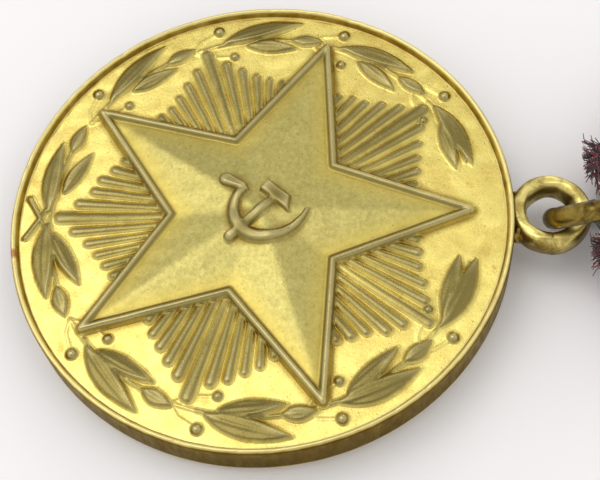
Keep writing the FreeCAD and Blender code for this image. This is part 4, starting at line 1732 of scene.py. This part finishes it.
@dataclass(frozen=True)
class Mottled(Finish):
    """Silk thread or white card: two near tones in clouds, which give a soft plain surface."""

    dark: str = ""
    bright: str = ""
    rough: float = 0.6
    cloud_mm: float = 0.17
    grain_mm: float = 0.17
    grain_deep_mm: float = 0.02

    def pattern(self, add: Adder, place: bpy.types.NodeSocket) -> Surface:
        """Returns two tones in clouds, roughness about one level, and a slight bump.

        Args:
            add: Adds a node to the material.
            place: Object coordinates in millimetres.
        """
        cloud = noise(add, place, self.cloud_mm, 3, 0.6)
        grain = noise(add, place, self.grain_mm, 4, 0.6)
        tone = lay(add, self.dark, (cloud, 0.3, 0.7, 1, self.bright))
        rough = spread(add, grain, self.rough - 0.04, self.rough + 0.04)
        normal = add("Bump", {"Height": grain, "Distance": self.grain_deep_mm * MM,
                              "Strength": 0.6})
        return tone, rough, normal


class Finishes:
    """Every finish of the medal, made once."""

    def __init__(self) -> None:
        """Makes the materials."""
        low, high = node_box("front_plate")
        # bright field, satin star, olive relief
        self.face = StruckBrass("struck_brass").material()
        # light crown, rubbed and a painted highlight, over a side painted dark as shade
        self.edge = RubbedBrass("rubbed_brass", glance="FFF6CE").material()
        # gold on top, handled and a painted highlight; brown underneath, painted shade
        self.eyelet = TarnishedBrass("cast_brass", dark="3C2C0E", mid="927A38", bright="E8D884",
                                     rough=0.32).material()
        # dark olive with thin bright lines
        self.ring = TarnishedBrass("tarnished_brass_wire", dark="20180A", mid="4A3A18",
                                   bright="9A8440", rough=0.28).material()
        # dull brown beads
        self.solder = TarnishedBrass("brown_solder", dark="4A3418", mid="86703A", bright="C2AA64",
                                     rough=0.42).material()
        # pale grey with a soft streak
        self.plate = DrawnMetal("rolled_aluminium", dark="9C9C98", bright="B4B4AF",
                                rough=0.42).material()
        # darker and glossier than the plates
        self.steel = DrawnMetal("drawn_steel", dark="7C7C7E", bright="B0B0B2",
                                rough=0.28).material()
        self.rivet = DrawnMetal("rivet_aluminium", dark="8A8A86", bright="C0C0BC",
                                rough=0.36).material()
        self.ribbon = WateredSilk("watered_silk", metallic=0, sheen=0.12,
                                  middle=(low.x + high.x) / 2).material()
        # fluffy ends of dyed silk, whose pale threads stand for glints: a painted highlight
        self.threads = {
            name: Mottled(f"silk_thread_{name}", metallic=0, sheen=0.4, dark=dark, bright=bright,
                          rough=0.55).material()
            for name, dark, bright in (("red", "4A1420", "7E2834"), ("dark", "0E110D", "232A22"),
                                       ("pale", "C08A90", "F0E4DE"))}
        # matt white card
        self.card = Mottled("white_card", metallic=0, dark="FBFAFA", bright="FEFDFD", rough=0.7,
                            cloud_mm=50, grain_mm=0.33, grain_deep_mm=0.01).material()


# ---- stage --------------------------------------------------------------------------------------
@dataclass(frozen=True)
class Lamp:
    """A round soft lamp that points at the origin: place and size in metres, power in watts."""

    name: str
    place: tuple[float, float, float]
    size: float
    power: float
    colour: str

    def build(self) -> None:
        """Makes the lamp."""
        data = bpy.data.lights.new(self.name, "AREA")
        data.shape = "DISK"
        data.size, data.energy = self.size, self.power
        data.color = linear(self.colour)[:3]
        lamp = bpy.data.objects.new(self.name, data)
        lamp.location = self.place
        lamp.rotation_mode = "QUATERNION"
        lamp.rotation_quaternion = Vector(self.place).to_track_quat("Z", "Y")
        bpy.context.scene.collection.objects.link(lamp)


@dataclass(frozen=True)
class Patch:
    """A part of the room that is brighter or darker than the rest.

    Attributes:
        direction: Direction of its middle.
        inner: Angle in degrees up to which it has its full gain.
        outer: Angle at which it ends.
        gain: Brightness there, where the rest has 1.
    """

    direction: tuple[float, float, float]
    inner: float
    outer: float
    gain: float


@dataclass
class Stage:
    """Floor, light and camera.

    Attributes:
        rest: Place of the disc's far edge, in millimetres, where it touches the floor.
        floor_half: Half the floor's side in metres.
        floor_lip: How far the floor lies below what rests on it, in metres.
        target: Point that the camera looks at, in millimetres.
        azimuth: Camera's direction in degrees.
        elevation: Camera's height in degrees.
        roll: Turn of the picture in degrees.
        distance: Distance of the camera from the target, in millimetres.
        lens: Focal length in millimetres.
        lamps: The two soft lamps.
        room: Brighter and darker parts of the room.
    """

    rest: float = -16.0
    floor_half: float = 0.6
    floor_lip: float = 0.00003
    target: tuple[float, float, float] = (0.66, 2.36, 0.0)
    azimuth: float = 99.02
    elevation: float = 61.97
    roll: float = -8.93
    distance: float = 86.5
    lens: float = 80.2
    lamps: tuple[Lamp, ...] = (
        Lamp("window", (-0.10, -0.16, 0.50), 0.30, 0.25, "FFFFFF"),
        Lamp("low_lamp", (-0.44, 0.12, 0.22), 0.20, 0.15, "FFFDF8"),
    )
    room: tuple[Patch, ...] = (
        Patch((-0.86, 0.02, 0.50), 12, 44, 0.66),
        Patch((-0.24, -0.28, 0.93), 2, 30, 1.6),
        Patch((0.46, 0.07, 0.88), 8, 26, 0.45),
    )

    def build(self, finishes: Finishes) -> list[bpy.types.Object]:
        """Makes the floor, the lamps, the room and the camera.

        Args:
            finishes: Every finish of the medal.

        Returns:
            The floor.
        """
        for lamp in self.lamps:
            lamp.build()
        self._world()
        self._camera()
        bpy.context.scene.view_settings.view_transform = "Standard"
        return [self._floor(finishes.card)]

    def _floor(self, card: bpy.types.Material) -> bpy.types.Object:
        """Makes the card, which slopes from the disc's far edge to the lower of ring and needle.

        Args:
            card: Material of the card.
        """
        far = self.rest * MM
        rests = (("jump_ring", "medal_fold"), ("pin_needle", "pin_open"))
        slope = min(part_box(node)[0][2] / (joint_point(joint).y * MM - far)
                    for node, joint in rests)
        ends = (-self.floor_half, self.floor_half)
        points = [(x, y, (y - far) * slope - self.floor_lip) for y in ends for x in ends]
        floor = add_mesh("white_card", np.array(points) / MM, [(0, 1, 3, 2)])
        floor.data.materials.append(card)
        return floor

    def _world(self) -> None:
        """Makes a white room of brightness 1, times each patch's gain by the angle from it."""
        world = bpy.data.worlds.new("room")
        bpy.context.scene.world = world
        world.use_nodes = True
        add = partial(add_node, world.node_tree)
        direction = add("TexCoord", {}, "Generated")
        level: bpy.types.NodeSocket | float = 1.0
        for patch in self.room:
            toward = add("VectorMath", {0: direction, 1: Vector(patch.direction).normalized()},
                         "Value", operation="DOT_PRODUCT")
            outer, inner = (math.cos(math.radians(angle)) for angle in (patch.outer, patch.inner))
            gain = add("MapRange", {0: toward, 1: outer, 2: inner, 3: 1.0, 4: patch.gain},
                       interpolation_type="SMOOTHSTEP")
            level = add("Math", {0: level, 1: gain}, operation="MULTIPLY")
        sky = world.node_tree.nodes["Background"]
        sky.inputs["Color"].default_value = linear("F5F3F2")
        world.node_tree.links.new(level, sky.inputs["Strength"])

    def _camera(self) -> None:
        """Makes a camera that looks at the target from its azimuth and elevation, with its roll."""
        az, el, roll = (math.radians(angle) for angle in (self.azimuth, self.elevation, self.roll))
        back = Vector((math.sin(az) * math.cos(el), -math.cos(az) * math.cos(el), math.sin(el)))
        right = Vector((math.cos(az), math.sin(az), 0))
        up = back.cross(right)
        across = math.cos(roll) * right + math.sin(roll) * up
        above = -math.sin(roll) * right + math.cos(roll) * up
        data = bpy.data.cameras.new("camera")
        data.lens = self.lens
        data.sensor_width = 36
        data.clip_start = 0.001
        camera = bpy.data.objects.new("camera", data)
        pose = Matrix((across, above, back)).transposed().to_4x4()
        pose.translation = (Vector(self.target) + back * self.distance) * MM
        camera.matrix_world = pose
        bpy.context.scene.collection.objects.link(camera)
        bpy.context.scene.camera = camera


def main() -> None:
    """Builds each sub-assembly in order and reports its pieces."""
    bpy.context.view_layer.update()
    finishes = Finishes()
    for assembly in (Disc(), Eyelet(), JumpRing(), Ribbon(), Block(), Stage()):
        for piece in assembly.build(finishes):
            LOG.info("%s: %s, %d faces", type(assembly).__name__, piece.name,
                     len(piece.data.polygons))


with open("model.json") as file:
    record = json.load(file)
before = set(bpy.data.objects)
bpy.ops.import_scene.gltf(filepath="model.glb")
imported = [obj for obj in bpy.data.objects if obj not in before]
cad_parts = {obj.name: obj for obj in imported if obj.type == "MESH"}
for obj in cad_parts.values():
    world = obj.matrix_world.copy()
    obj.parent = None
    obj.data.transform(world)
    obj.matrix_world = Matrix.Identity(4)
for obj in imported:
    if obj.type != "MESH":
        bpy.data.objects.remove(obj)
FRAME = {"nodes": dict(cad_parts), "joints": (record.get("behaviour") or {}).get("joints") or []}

if __name__ == "__main__":
    main()
